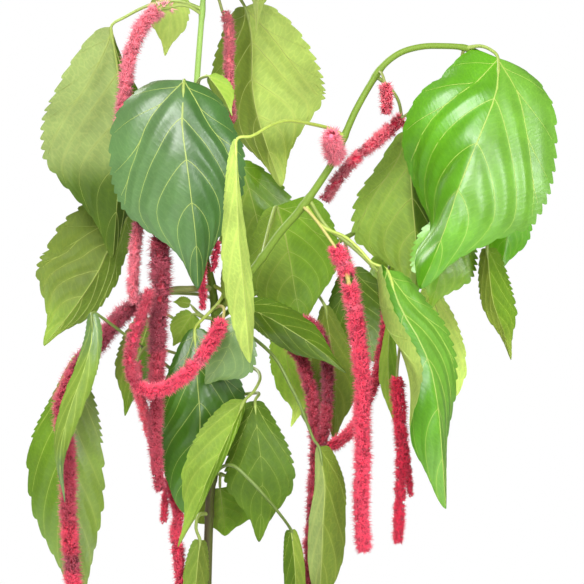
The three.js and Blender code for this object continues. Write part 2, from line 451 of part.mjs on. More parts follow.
const WOOD = [MAIN_STEM, RIGHT_BRANCH, BACK_BRANCH];
const woodLines = WOOD.map((wood) => curveThrough(wood.path).getSpacedPoints(240));
const woodSolid = WOOD.map((wood) => woodTube(wood, 0)).reduce((sum, solid) => sum.add(solid));
const woodRoom = WOOD.map((wood) => woodTube(wood, SEAT_GAP)).reduce((sum, solid) => sum.add(solid));

/** The places of a stalk as points, its first one moved onto the nearest line of wood. */
function seatedOnWood(places) {
  const points = places.map(spot);
  const near = woodLines.flat().reduce((best, point) => (
    point.distanceToSquared(points[0]) < best.distanceToSquared(points[0]) ? point : best));
  points[0] = near.clone();
  return points;
}

/** A leaf's value for the half of a place, where the value may be a pair for the left and the right half. */
function ofHalf(value, across) {
  return Array.isArray(value) ? value[across >= 0 ? 0 : 1] : value;
}

/** Half-width of a blade as a share of its widest, with a rounded or pointed base and a drawn-out tip. */
function outline(along, across, leaf) {
  const power = Math.log(0.5) / Math.log(ofHalf(leaf.widest ?? WIDEST_AT, across));
  const fullness = lerp(ofHalf(leaf.base ?? ROUND_BASE, across), ROUND_BASE, smoothstep(along, 0, 0.6));
  const oval = Math.sin(Math.PI * THREE.MathUtils.clamp(along, 0, 1) ** power) ** fullness;
  return oval * (1 - ofHalf(leaf.draw ?? TIP_DRAW, across) * smoothstep(along, TIP_FROM, TIP_TO));
}

/** A point of a blade's middle surface: along is 0 at the base and 1 at the tip, across is 1 at the left edge. */
function bladePoint(leaf, rib, length, along, across) {
  const half = across >= 0 ? leaf.left : leaf.right;
  const [widestHalf, baseFold, tipFold, curl, endFold = tipFold, endCurl = curl] = half;
  const share = Math.abs(across);
  const width = widestHalf * outline(along, across, leaf);
  const foldOnWay = lerp(baseFold, tipFold, smoothstep(along, ...FOLD_SPAN));
  const fold = radians(lerp(foldOnWay, endFold, smoothstep(along, ...END_FOLD_SPAN)));
  const turn = radians(lerp(curl, endCurl, smoothstep(along, ...CURL_SPAN)));
  const bend = Math.abs(turn) < LEAST_BEND ? LEAST_BEND : turn;
  const out = width * (Math.sin(fold + bend * share) - Math.sin(fold)) / bend;
  const rise = width * (Math.cos(fold) - Math.cos(fold + bend * share)) / bend;
  const onRib = THREE.MathUtils.clamp(along, 0, 1);
  const tangent = rib.getTangentAt(onRib);
  const front = new THREE.Vector3(0, -1, 0);
  const facing = front.addScaledVector(tangent, -front.dot(tangent)).normalize();
  const toLeft = new THREE.Vector3().crossVectors(tangent, facing);
  const [waveHeight, waves, phase] = leaf.wave;
  const swing = Math.sin(2 * Math.PI * (waves * along + phase + (across >= 0 ? 0 : RIGHT_WAVE_SHIFT)));
  const wave = waveHeight * share ** 1.5 * swing * Math.min(1, 7 * onRib * (1 - onRib));
  const lobe = ofHalf(leaf.lobe ?? LOBE, across) * (onRib / LOBE_SPAN) * Math.exp(1 - onRib / LOBE_SPAN);
  const lead = VEIN_LEAD * 4 * onRib * (1 - onRib);
  return rib.getPointAt(onRib)
    .addScaledVector(toLeft, Math.sign(across) * out)
    .addScaledVector(facing, rise + wave)
    .addScaledVector(tangent, length * share * (lead - lobe));
}

/** The blade's unit normal, from the slopes of its middle surface. */
function bladeNormal(leaf, rib, length, along, across) {
  const steady = THREE.MathUtils.clamp(along, 0.03, 0.97);
  const nudge = 0.01;
  const lengthwise = bladePoint(leaf, rib, length, steady + nudge, across)
    .sub(bladePoint(leaf, rib, length, steady - nudge, across));
  const crosswise = bladePoint(leaf, rib, length, steady, across + nudge)
    .sub(bladePoint(leaf, rib, length, steady, across - nudge));
  return lengthwise.cross(crosswise).normalize();
}

/** Triangles between an inner line of points and an outer line with several steps for each inner one. */
function stripBetween(inner, outer) {
  const triangles = [];
  const steps = (outer.length - 1) / (inner.length - 1);
  for (let cell = 0; cell < inner.length - 1; cell += 1) {
    const edge = outer.slice(cell * steps, (cell + 1) * steps + 1);
    const turn = Math.floor(steps / 2);
    for (let step = 0; step < steps; step += 1) {
      triangles.push([inner[step < turn ? cell : cell + 1], edge[step], edge[step + 1]]);
    }
    triangles.push([inner[cell], edge[turn], inner[cell + 1]]);
  }
  return triangles.filter(([a, b, c]) => a !== b && b !== c && a !== c);
}

/** A leaf blade as a thin solid with toothed edges, two teeth for each row. */
function bladeSolid(leaf, rib) {
  const length = rib.getLength();
  const { rows, columns } = leaf;
  const edgeSteps = columns > 1 ? EDGE_STEPS : EDGE_STEPS / 2;
  const places = [];
  const add = (along, across) => places.push([along, across]) - 1;
  const middle = Array.from({ length: rows + 1 }, (unused, row) => add(row / rows, 0));
  const ends = { first: middle[0], last: middle[rows] };
  const triangles = [];
  for (const side of [1, -1]) {
    let inner = middle;
    for (let column = 1; column < columns; column += 1) {
      const across = side * column / columns;
      const line = middle.map((unused, row) => {
        if (row === 0) return ends.first;
        return row === rows ? ends.last : add(row / rows, across);
      });
      triangles.push(...woundFor(side, stripBetween(inner, line)));
      inner = line;
    }
    const edge = [ends.first];
    const widestHalf = side > 0 ? leaf.left[0] : leaf.right[0];
    for (let step = 1; step < rows * edgeSteps; step += 1) {
      const tooth = step % 2 ? Math.min(TOOTH_REACH / widestHalf, TOOTH_LIMIT) : 0;
      const lean = step % 2 ? TOOTH_LEAN : 0;
      edge.push(add((step + lean) / (rows * edgeSteps), side * (1 + tooth)));
    }
    edge.push(ends.last);
    triangles.push(...woundFor(side, stripBetween(inner, edge)));
  }
  return thickened(leaf, rib, length, places, triangles);
}

function woundFor(side, triangles) {
  return side > 0 ? triangles : triangles.map(([a, b, c]) => [a, c, b]);
}

/** The blade's two faces, half its thickness to each side, closed along the edge. */
function thickened(leaf, rib, length, places, triangles) {
  const count = places.length;
  const front = [];
  const back = [];
  for (const [along, across] of places) {
    const point = bladePoint(leaf, rib, length, along, across);
    const normal = bladeNormal(leaf, rib, length, along, across);
    front.push(point.clone().addScaledVector(normal, BLADE_THICKNESS / 2));
    back.push(point.clone().addScaledVector(normal, -BLADE_THICKNESS / 2));
  }
  const all = triangles.concat(triangles.map(([a, b, c]) => [a + count, c + count, b + count]));
  const edges = new Set();
  for (const [a, b, c] of triangles) {
    for (const [from, to] of [[a, b], [b, c], [c, a]]) edges.add(`${from} ${to}`);
  }
  for (const edge of edges) {
    const [from, to] = edge.split(' ').map(Number);
    if (!edges.has(`${to} ${from}`)) {
      all.push([to, from, from + count], [to, from + count, to + count]);
    }
  }
  return solidFrom(front.concat(back), all);
}

/** A stalk from its first point to the blade, running on into the blade's rib. */
function stalkSolid(points, rib) {
  const all = points.concat([rib.getPointAt(0), rib.getPointAt(STALK_INTO_BLADE)]);
  const line = curveThrough(all);
  const steps = Math.max(3, Math.round(line.getLength() / STALK_STEP));
  return tube(line, (along) => STALK_RADIUS * lerp(...STALK_TAPER, along), STALK_SIDES, steps);
}

function leafSolid(leaf) {
  const rib = curveThrough(leaf.rib);
  return bladeSolid(leaf, rib).add(stalkSolid(seatedOnWood(leaf.stalk), rib)).subtract(woodRoom);
}

function sprigSolid(sprig) {
  const shootPoints = seatedOnWood(sprig.shoot);
  let solid = tube(curveThrough(shootPoints), () => STALK_RADIUS * SHOOT_SWELL, SHOOT_SIDES, 2);
  const end = shootPoints[shootPoints.length - 1];
  for (const leaf of sprig.leaves) {
    const rib = curveThrough(leaf.rib);
    solid = solid.add(bladeSolid(leaf, rib)).add(stalkSolid([end, ...leaf.stalk.map(spot)], rib));
  }
  return solid.subtract(woodRoom);
}

/** A tufted length: a tube whose corners stand out and sink in by turns, narrowed at its ends. */
function tuftedTube(points, firstRadius, lastRadius) {
  const line = curveThrough(points);
  const steps = Math.max(3, Math.round(line.getLength() / TUFT_STEP));
  const radiusAt = (along, step, side) => {
    const relief = (step + side) % 2 ? TUFT_DIP : 1;
    const end = step === 0 || step === steps ? CATKIN_TIP : 1;
    return lerp(firstRadius, lastRadius, along) * relief * end;
  };
  return tube(line, radiusAt, CATKIN_SIDES, steps);
}

function catkinSolid(catkin) {
  const axis = curveThrough([...seatedOnWood(catkin.axis), spot(catkin.path[0]), spot(catkin.path[1])]);
  const steps = Math.max(3, Math.round(axis.getLength() / AXIS_STEP));
  let solid = tube(axis, () => catkin.thick ?? AXIS_RADIUS, AXIS_SIDES, steps)
    .add(tuftedTube(catkin.path, catkin.radius[0], catkin.radius[1]));
  if (catkin.second) {
    const start = curveThrough(catkin.second.slice(0, 3));
    solid = solid.add(tube(start, () => AXIS_RADIUS, AXIS_SIDES, 3))
      .add(tuftedTube(catkin.second.slice(1), catkin.secondRadius, catkin.secondRadius * 0.9));
  }
  return solid.subtract(woodRoom);
}

/** A body turned about the upright axis from a closed outline of [radius, height] points. */
function turned(profile, sides) {
  const closed = profile.concat([profile[0]]).map(([radius, height]) => new THREE.Vector2(radius, height));
  return solidOf(new THREE.LatheGeometry(closed, sides).rotateX(Math.PI / 2));
}

/** The pot's inner radius at a height, for a wall of even thickness. */
function innerRadius(height) {
  const share = height / (POT_HEIGHT - RIM_BAND_HEIGHT);
  const outer = lerp(POT_FOOT_RADIUS, POT_RIM_RADIUS - RIM_BAND_STEP, Math.min(1, share));
  return outer - POT_WALL;
}

function potSolid() {
  const bandFoot = POT_HEIGHT - RIM_BAND_HEIGHT;
  const bandInner = innerRadius(bandFoot);
  const topOuter = POT_RIM_RADIUS + RIM_FLARE;
  let pot = turned([
    [0, 0], [POT_FOOT_RADIUS - POT_ROUND, 0], [POT_FOOT_RADIUS, POT_ROUND],
    [POT_RIM_RADIUS - RIM_BAND_STEP, bandFoot], [POT_RIM_RADIUS - POT_ROUND, bandFoot],
    [POT_RIM_RADIUS, bandFoot + POT_ROUND], [topOuter, POT_HEIGHT - POT_ROUND],
    [topOuter - POT_ROUND, POT_HEIGHT], [bandInner + POT_ROUND, POT_HEIGHT], [bandInner, POT_HEIGHT - POT_ROUND],
    [bandInner, bandFoot], [innerRadius(POT_FLOOR), POT_FLOOR], [0, POT_FLOOR],
  ], POT_SIDES);
  for (let hole = 0; hole < DRAIN_HOLES; hole += 1) {
    const turn = (hole / DRAIN_HOLES) * Math.PI * 2 + FIRST_DRAIN_TURN;
    const drill = new THREE.CylinderGeometry(DRAIN_HOLE_RADIUS, DRAIN_HOLE_RADIUS, POT_FLOOR * 3, DRAIN_HOLE_SIDES);
    drill.rotateX(Math.PI / 2).translate(Math.cos(turn) * DRAIN_HOLE_OFFSET, Math.sin(turn) * DRAIN_HOLE_OFFSET, 0);
    pot = pot.subtract(solidOf(drill));
  }
  return pot;
}

function soilSolid() {
  const bandFoot = POT_HEIGHT - RIM_BAND_HEIGHT;
  const inside = (height) => innerRadius(height) - SEAT_GAP;
  const profile = [[0, POT_FLOOR + SEAT_GAP], [inside(POT_FLOOR), POT_FLOOR + SEAT_GAP], [inside(bandFoot), bandFoot]];
  for (const ring of SOIL_RINGS) profile.push([inside(bandFoot) * ring, SOIL_TOP]);
  profile.push([0, SOIL_TOP]);
  const points = profile.map(([radius, height]) => new THREE.Vector2(radius, height));
  const geometry = new THREE.LatheGeometry(points, POT_SIDES).rotateX(Math.PI / 2);
  const place = geometry.attributes.position;
  for (let index = 0; index < place.count; index += 1) {
    if (place.getZ(index) > SOIL_TOP - 1) {
      const share = Math.hypot(place.getX(index), place.getY(index)) / inside(bandFoot);
      const [rateX, rateY] = SOIL_LUMP_RATES;
      const lump = Math.sin(place.getX(index) * rateX) * Math.cos(place.getY(index) * rateY);
      place.setZ(index, SOIL_TOP + SOIL_MOUND * (1 - share ** 2) + SOIL_LUMP * lump);
    }
  }
  const holeRadius = MAIN_STEM.radius[0] + SEAT_GAP;
  const drill = new THREE.CylinderGeometry(holeRadius, holeRadius, 2 * SOIL_HOLE_DEPTH, SOIL_HOLE_SIDES);
  drill.rotateX(Math.PI / 2);
  const [foot] = woodLines[0];
  drill.translate(foot.x, foot.y, foot.z - SEAT_GAP + SOIL_HOLE_DEPTH);
  return solidOf(geometry).subtract(solidOf(drill));
}

const plant = new THREE.Group();
plant.name = 'potted_chenille_plant';

function place(name, solid, tone, roughness) {
  const material = new THREE.MeshStandardMaterial({ color: COLORS[tone], roughness, metalness: 0 });
  const mesh = new THREE.Mesh(geometryOf(solid), material);
  mesh.name = name;
  plant.add(mesh);
}

place('pot', potSolid(), 'clay', 0.85);
place('soil', soilSolid(), 'soil', 0.95);
place('stem', woodSolid, 'wood', 0.6);
for (const leaf of LEAVES) place(leaf.name, leafSolid(leaf), leaf.tone, 0.5);
for (const sprig of SPRIGS) place(sprig.name, sprigSolid(sprig), sprig.tone, 0.5);
for (const catkin of CATKINS) place(catkin.name, catkinSolid(catkin), catkin.tone, 0.9);

export default plant;
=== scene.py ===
# The look of the potted chenille plant: fine toothed leaves with raised veins, catkins of threads, bark,
# clay and soil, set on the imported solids. Metres, +Z up, the photographed side faces -Y.
import itertools
import math

import bpy
import numpy as np
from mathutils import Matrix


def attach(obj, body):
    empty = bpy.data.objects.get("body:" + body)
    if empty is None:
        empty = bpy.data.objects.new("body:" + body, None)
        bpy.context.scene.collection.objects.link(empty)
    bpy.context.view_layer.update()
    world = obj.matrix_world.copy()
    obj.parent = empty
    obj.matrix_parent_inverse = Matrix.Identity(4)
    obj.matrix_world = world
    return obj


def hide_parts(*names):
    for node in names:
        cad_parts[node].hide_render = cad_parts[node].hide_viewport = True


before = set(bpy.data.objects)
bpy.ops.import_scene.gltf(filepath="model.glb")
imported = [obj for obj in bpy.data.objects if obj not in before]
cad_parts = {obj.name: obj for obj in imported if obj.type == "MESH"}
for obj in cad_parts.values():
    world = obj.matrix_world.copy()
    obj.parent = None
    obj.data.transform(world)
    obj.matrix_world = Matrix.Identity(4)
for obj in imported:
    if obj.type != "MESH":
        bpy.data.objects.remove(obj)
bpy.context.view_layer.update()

# Lengths are in millimetres unless their comment says metres, and times MM they are metres
MM = 0.001
TURN = 2 * math.pi

# Front drawing of the plant, as the solids are drawn: a column, a row, and the depth away from the viewer
STEP_SIZE = 0.8
DRAWING_SIZE = 584
EYE_COLUMN = 292
EYE_ROW = 292
EYE_DISTANCE = 2400
STEM_COLUMN = 207
LOWEST_ROW_HEIGHT = 240
EYE_ACROSS = (EYE_COLUMN - STEM_COLUMN) * STEP_SIZE
EYE_HEIGHT = LOWEST_ROW_HEIGHT + (DRAWING_SIZE - EYE_ROW) * STEP_SIZE
FIELD_WIDTH = DRAWING_SIZE * STEP_SIZE
LINE_SAMPLES = 240
SLOPE_NUDGE = 0.004
# A direction that no line runs along, to start the sides of a tube from
SIDE_HINT = (0.3, 1.0, 0.2)

# Shape of a blade, as in the solids: shares of its length from the base, or of its half-width from the rib
LOBE = 0.04
LOBE_SPAN = 0.06
VEIN_LEAD = 0.05
WIDEST_AT = 0.37
ROUND_BASE = 0.65
BASE_SPAN = (0, 0.6)
TIP_DRAW = 0.62
TIP_SPAN = (0.52, 0.9)
FOLD_SPAN = (0.15, 0.75)
END_FOLD_SPAN = (0.7, 0.95)
CURL_SPAN = (0.35, 0.75)
LEAST_BEND = 0.002
RIGHT_WAVE_SHIFT = 0.35
WAVE_POWER = 1.5
WAVE_FADE = 7
NORMAL_NUDGE = 0.012
NORMAL_SPAN = (0.03, 0.97)

# Net of a blade: how many rows each vein's strip has, by the length of the leaf, and its toothed edge
FINENESS = ((140, 10), (70, 7), (0, 5))
FULL_SIZE_HALF_WIDTH = 50
LEAST_SCALE = 0.45
HALF_THICKNESS = 0.2
EDGE_SPAN = (0.85, 1)
EDGE_THINNING = 0.5
TOOTH_SHAPE = (0.0, 0.4, 0.75, 1.0, 0.7)
TOOTH_REACH = 3.8
TOOTH_LEAN = 0.8
FULL_TOOTH_HALF_WIDTH = 40
LAST_TOOTH = 0.998
TOOTH_FADE = 0.5
EXTRA_COLUMNS = 2
EXTRA_VEIN_STEPS = 3

# Quilting between the veins
QUILT_HEIGHT = 2.1
QUILT_SPREAD = 7.0
QUILT_EDGE_SPAN = (0.75, 1)
QUILT_EDGE_LOSS = 0.7
QUILT_FADE = 12
STEEP_FOLD = 45
FOLDED_QUILT = 0.3

# Veins: a rib, a fan from its base, side veins along it, and branches on the outer side of the basal vein
VEINS = 5
FAN_VEINS = 6
BASAL_VEIN_END = 0.54
SLIM_LEAF = 0.3
LEAST_BASAL_SHARE = 0.5
VEIN_ARCH = 1.3
VEIN_CROWDING = 1.6
BRANCH_ARCH = 0.8
RIB_REACH = 0.985
VEIN_REACH = 0.96
OUTER_BRANCHES = [(0.14, 0.19), (0.34, 0.41), (0.56, 0.65), (0.78, 0.86)]
MIDRIB_WIDTH = 2.1
MIDRIB_TAPER = 0.8
MIDRIB_TAPER_POWER = 0.8
BASAL_VEIN_WIDTH = 1.4
SIDE_VEIN_WIDTH = 1.15
SIDE_VEIN_LOSS = 0.5
SIDE_VEIN_TAPER = 0.75
BRANCH_WIDTH = 0.8
BRANCH_TAPER = 0.7
VEIN_ABOVE = 0.35
VEIN_BELOW = 0.75
LEAST_RIDGE = 0.3
VEIN_TONE_SHARE = 0.62
VEIN_SAMPLING = 4
# A distance in metres that is beyond every vein
FAR = 1.0

# Tones of a blade: how they pass into one another, and the ladder of fine veins between the large ones
HALVES_BLEND = (-0.04, 0.04)
TIP_BLEND = (0.55, 0.95)
LEAF_BAND_EDGE = 0.1
LADDER_SLANT = (0.75, 0.66)
STRIP_SLANT = 0.5
NET_CELL = (3.6, 26.0)
FAR_SIDE_SHARE = 0.6
LEAF_LIGHT = 0.56

# Leaf stalks, with a swollen foot and a knee below the blade
STALK_RADIUS = 1.3
STALK_FULLNESS = 1.08
STALK_TAPER = (1.1, 0.8)
STALK_SIDES = 9
STALK_STEP = 3
LEAST_STALK_STEPS = 8
STALK_INTO_BLADE = 0.1
STALK_FOOT_SWELL = 0.4
STALK_KNEE_SWELL = 0.2
STALK_KNEE = 8
SWELL_REACH = 4
STALK_END = 6
STALK_END_TAPER = 0.6
STALK_END_LIGHT = 1.1
SHOOT_RADIUS = 1.25 * STALK_RADIUS
SHOOT_SIDES = 10
SHOOT_STEPS = 6
SMALL_STALK = 0.8

# Catkins: a bare axis, then threads in tufts on a core, some of them stars of long threads. A pair that is
# named a range holds its start and its reach.
AXIS_RADIUS = 1.2
AXIS_SIDES = 10
AXIS_STEP = 3
LEAST_AXIS_STEPS = 10
AXIS_SWELL = 0.25
AXIS_SWELL_FADE = 12
FORK_SIDES = 8
FORK_STEPS = 8
SECOND_TAPER = 0.9
CORE_SHARE = 0.5
CORE_SIDES = 10
CORE_STEP = 1.6
LEAST_CORE_STEPS = 12
CORE_ROUNDING = 0.95
CORE_KNOB_RANGE = (0.75, 0.5)
# The core's tone: painted shade, with a share of the thread tone
CORE_SHADE_RANGE = (0.3, 0.3)
BARE_SLIMMING = 0.45
TUFTS_PER_AREA = 0.26
THREADS_PER_TUFT = 6
THREAD_SIDES = 3
THREAD_WIDTH = 0.62
THREAD_REACH = 0.55
THREAD_LEAN = 0.45
THREAD_SAG = -0.1
SHORT_FOOT = 0.7
LONG_WIDTH = 0.72
LONG_SHARE = 0.4
LONG_REACH = 1.02
LONG_LEAN = 0.7
SIDE_TO_RADIUS = 0.577
CROSS_NUDGE = 0.2
LENGTH_RANGE = (0.75, 0.4)
WIDTH_RANGE = (0.7, 0.5)
# Share of the thread tone in the painted shade at the threads' feet
INNER_SHADE_RANGE = (0.15, 0.35)
OUTER_LIGHT_RANGE = (0.55, 0.6)
TUFT_LIGHT_RANGE = (0.75, 0.35)
PALE_SHARE = 0.6
TUFT_ROUNDING = 0.3
END_LEAN = 0.9
END_REACH = 4
END_REACH_SHARE = 0.7
BAND_EDGE = 0.012
BARE_DENSITY = 0.3
FIRST_CATKIN_SEED = 100

# Wood: knots where stalks leave it, and the heights in metres between which its bark changes, the leaves'
# shade on it fades, and painted glare pales its top
WOOD_SIDES = 14
WOOD_STEP = 2.4
WOOD_FULLNESS = 0.97
WOOD_END = 6
WOOD_END_TAPER = 0.3
KNOT_GAP = 0.5
KNOT_REACH = 3.2
KNOT_SWELL = 0.2
OLD_BARK_HEIGHTS = (0.315, 0.352)
OLD_BARK_SHARE = 0.95
BARK_SIDES_BLEND = (-0.0012, 0.0016)
SHADED_HEIGHTS = (0.4, 0.56)
SHADED_LOSS = 0.35
# Above these heights the stem is paler: painted glare of the light on its top
GLARE_BARK_HEIGHTS = (0.6, 0.65)

# Pot and soil, as in the solids, with crumbs on the soil's face
POT_PROFILE = [
    (0, 0), (67, 0), (69.2, 0.6), (70, 2), (96.6, 135.2), (97.4, 135.8), (100.4, 136), (101.6, 136.6),
    (102.1, 138), (103.9, 167), (103.6, 169.2), (102.2, 170), (92.8, 170), (91.4, 169.4), (91, 168),
    (91, 136.4), (65.8, 9.2), (64.4, 8), (0, 8),
]
POT_SEGMENTS = 96
POT_FLOOR = 8
DRAIN_HOLES = 3
DRAIN_OFFSET = 34
DRAIN_RADIUS = 7
DRAIN_SEGMENTS = 32
FIRST_DRAIN_TURN = 0.5
SOIL_SEED = 7
SOIL_SEGMENTS = 120
SOIL_TOP = 150
SOIL_MOUND = 5
SOIL_LUMP = 1.2
SOIL_LUMP_RATES = (0.21, 0.17)
SOIL_GRAIN = 0.45
SOIL_RINGS = (8, 14, 20, 27, 34, 41, 48, 55, 62, 69, 75, 81, 86)
SOIL_RADIUS = 90.7
SOIL_FOOT_RADIUS = 65.2
SOIL_FOOT = 8.3
RIM_FOOT = 136
STEM_HOLE_RADIUS = 4.6
STEM_HOLE_FOOT = 89.9
SOIL_DARK = np.array([0.028, 0.018, 0.011, 1.0])
SOIL_PALE = np.array([0.09, 0.055, 0.03, 1.0])
CRUMBS = 900
CRUMB_BORDER = 3
CRUMB_CLEARANCE = 8
CRUMB_SIZE = (0.7, 2.3)
CRUMB_PROPORTIONS = ((0.7, 1.6), (0.6, 1.1), (0.4, 0.8))
CRUMB_RISE = 0.35
# Least gap between two corners of a crumb's body of radius 1, and how far its edges may differ
SAME_CORNER = 0.1
EDGE_SLACK = 1.05

# Edges sharper than this many degrees stay sharp: on leaves and wood, on the pot, and on the soil
CREASE = 50
POT_CREASE = 35
SOIL_CREASE = 60

# Materials: spans of noise and of distances, what they are turned into, and colours
NOISE_SPAN = (0.3, 0.7)
GRAIN_SPAN = (0.25, 0.75)
FINE_GRAIN = (0.93, 1.07)
NET_WARP = 0.35
NET_LINE = (0.02, 0.14)
NET_PILLOW = (0.0, 0.3)
NET_GRIT = 0.15
VEIN_BAND = (0.5, 2.2)
VEIN_FILTER = (1.5, 1.3, 1.4, 1.0)
GLOW_FILTER = (1.05, 1.15, 0.42, 1.0)
PATCHES = (0.76, 1.2)
LEAF_GLOSS = (-0.05, 0.07)
GRAIN_GLOSS = (-0.06, 0.06)
SHEEN_TINT = (1.0, 0.55, 0.6, 1.0)
STREAK_SHAPE = (1.0, 1.0, 0.3)
SPECK = (0.1, 0.26)
SPECK_SHARE = 0.2
SPECK_FILTER = (1.5, 1.4, 1.2, 1.0)
CLAY_WARM = (0.25, 0.076, 0.034, 1.0)
CLAY_PALE = (0.31, 0.155, 0.1, 1.0)
BLOOM_SPAN = (0.42, 0.68)
BLOOM = (0.0, 0.55)
CLAY_GRAIN = (0.86, 1.12)
FIBRE_SPAN = (0.35, 0.72)
FIBRE = (0.55, 1.7)
FLOOR_TONE = (0.84, 0.88)
# Places of the sockets of a node that mixes colours
MIX_SHARE = 0
MIX_FIRST = 6
MIX_SECOND = 7
MIX_RESULT = 2

# Studio, in metres
WHITE = (1.0, 1.0, 1.0, 1.0)
WORLD_FILL = 0.32
FLOOR_RADIUS = 1.6
FLOOR_SEGMENTS = 96
CLIP_NEAR = 0.05
CLIP_FAR = 30
LIT_PLACE = (0.06, 0, 0.47)
LIGHTS = [
    dict(name="back_left", place=(-1.3, 1.3, 1.9), size=1.4, power=84, color=(1.0, 0.99, 0.95)),
    dict(name="front_top", place=(-0.3, -1.9, 1.7), size=1.4, power=96, color=(1, 1, 1)),
    dict(name="front_right", place=(1.3, -1.8, 1.1), size=1.0, power=40, color=(0.97, 0.99, 1.0)),
]

# Surface colours as sRGB. The washed-out green listed third is painted glare of strong light on leaves
TONES = dict(
    lime=(212, 242, 118), pale=(190, 216, 104), pale_glare=(180, 204, 116), light=(150, 186, 66),
    olive=(134, 160, 52), fresh=(122, 184, 56), vivid=(104, 178, 24), mid=(120, 164, 32),
    # slate, deep_slate and bluish are leaf greens with painted bluish sheen mixed in
    dark=(94, 130, 20), deep=(72, 124, 18), slate=(106, 148, 84), deep_slate=(82, 130, 58),
    bluish=(126, 166, 88), warm=(144, 154, 68), far_under=(214, 224, 120), vein=(222, 238, 122),
    stalk=(170, 192, 92), stalk_dark=(120, 144, 62), stalk_lime=(200, 222, 96), coral=(255, 178, 186),
    rose=(248, 116, 140), dusty=(226, 100, 122), pink=(244, 58, 96), red=(218, 34, 70),
    # core and core_pale are the painted shade deep inside the catkins
    crimson=(170, 36, 56), wine=(120, 34, 48), faded=(188, 104, 108), core=(110, 16, 34),
    core_pale=(200, 90, 96), axis_yellow=(206, 196, 110), axis_green=(150, 160, 80),
    # The pale bark tone paints glare on the top of the stem
    bark_young=(84, 108, 20), bark_glare=(124, 154, 76), bark_branch=(94, 118, 34), bark_old=(74, 78, 32),
    bark_purple=(66, 56, 40),
)

# The wood's lines, as places of the front drawing, and its radius at both ends, as in the solids
MAIN_STEM = dict(
    path=[[207, 771, 0], [207, 694, 0], [206, 640, 0], [207, 584, 0], [210, 500, 0], [214, 465, 0],
        [215, 400, 0], [215, 330, 0], [214, 300, 0], [210, 275, 0], [205, 255, 0], [200, 200, 0],
        [197, 120, 0], [197, 80, 0], [203, 0, 0], [205, -50, 2], [207, -100, 4]],
    radius=(4.3, 2.0))
RIGHT_BRANCH = dict(
    path=[[215, 314, 0], [232, 292, -4], [250, 273, -6], [262, 258, -8], [280, 233, -10], [300, 210, -12],
        [318, 185, -12], [335, 158, -11], [347, 130, -9], [356, 110, -7], [370, 85, -4], [383, 66, -2],
        [400, 53, 0], [420, 47, 1], [440, 46, 2], [465, 48, 3], [485, 58, 6], [495, 80, 8], [499, 110, 9],
        [500, 140, 10]],
    radius=(3.4, 2.2))
BACK_BRANCH = dict(
    path=[[215, 322, 0], [236, 306, 24], [260, 290, 44], [310, 258, 50], [345, 238, 48], [370, 226, 50],
        [395, 227, 52], [415, 248, 50]],
    radius=(2.3, 1.9))
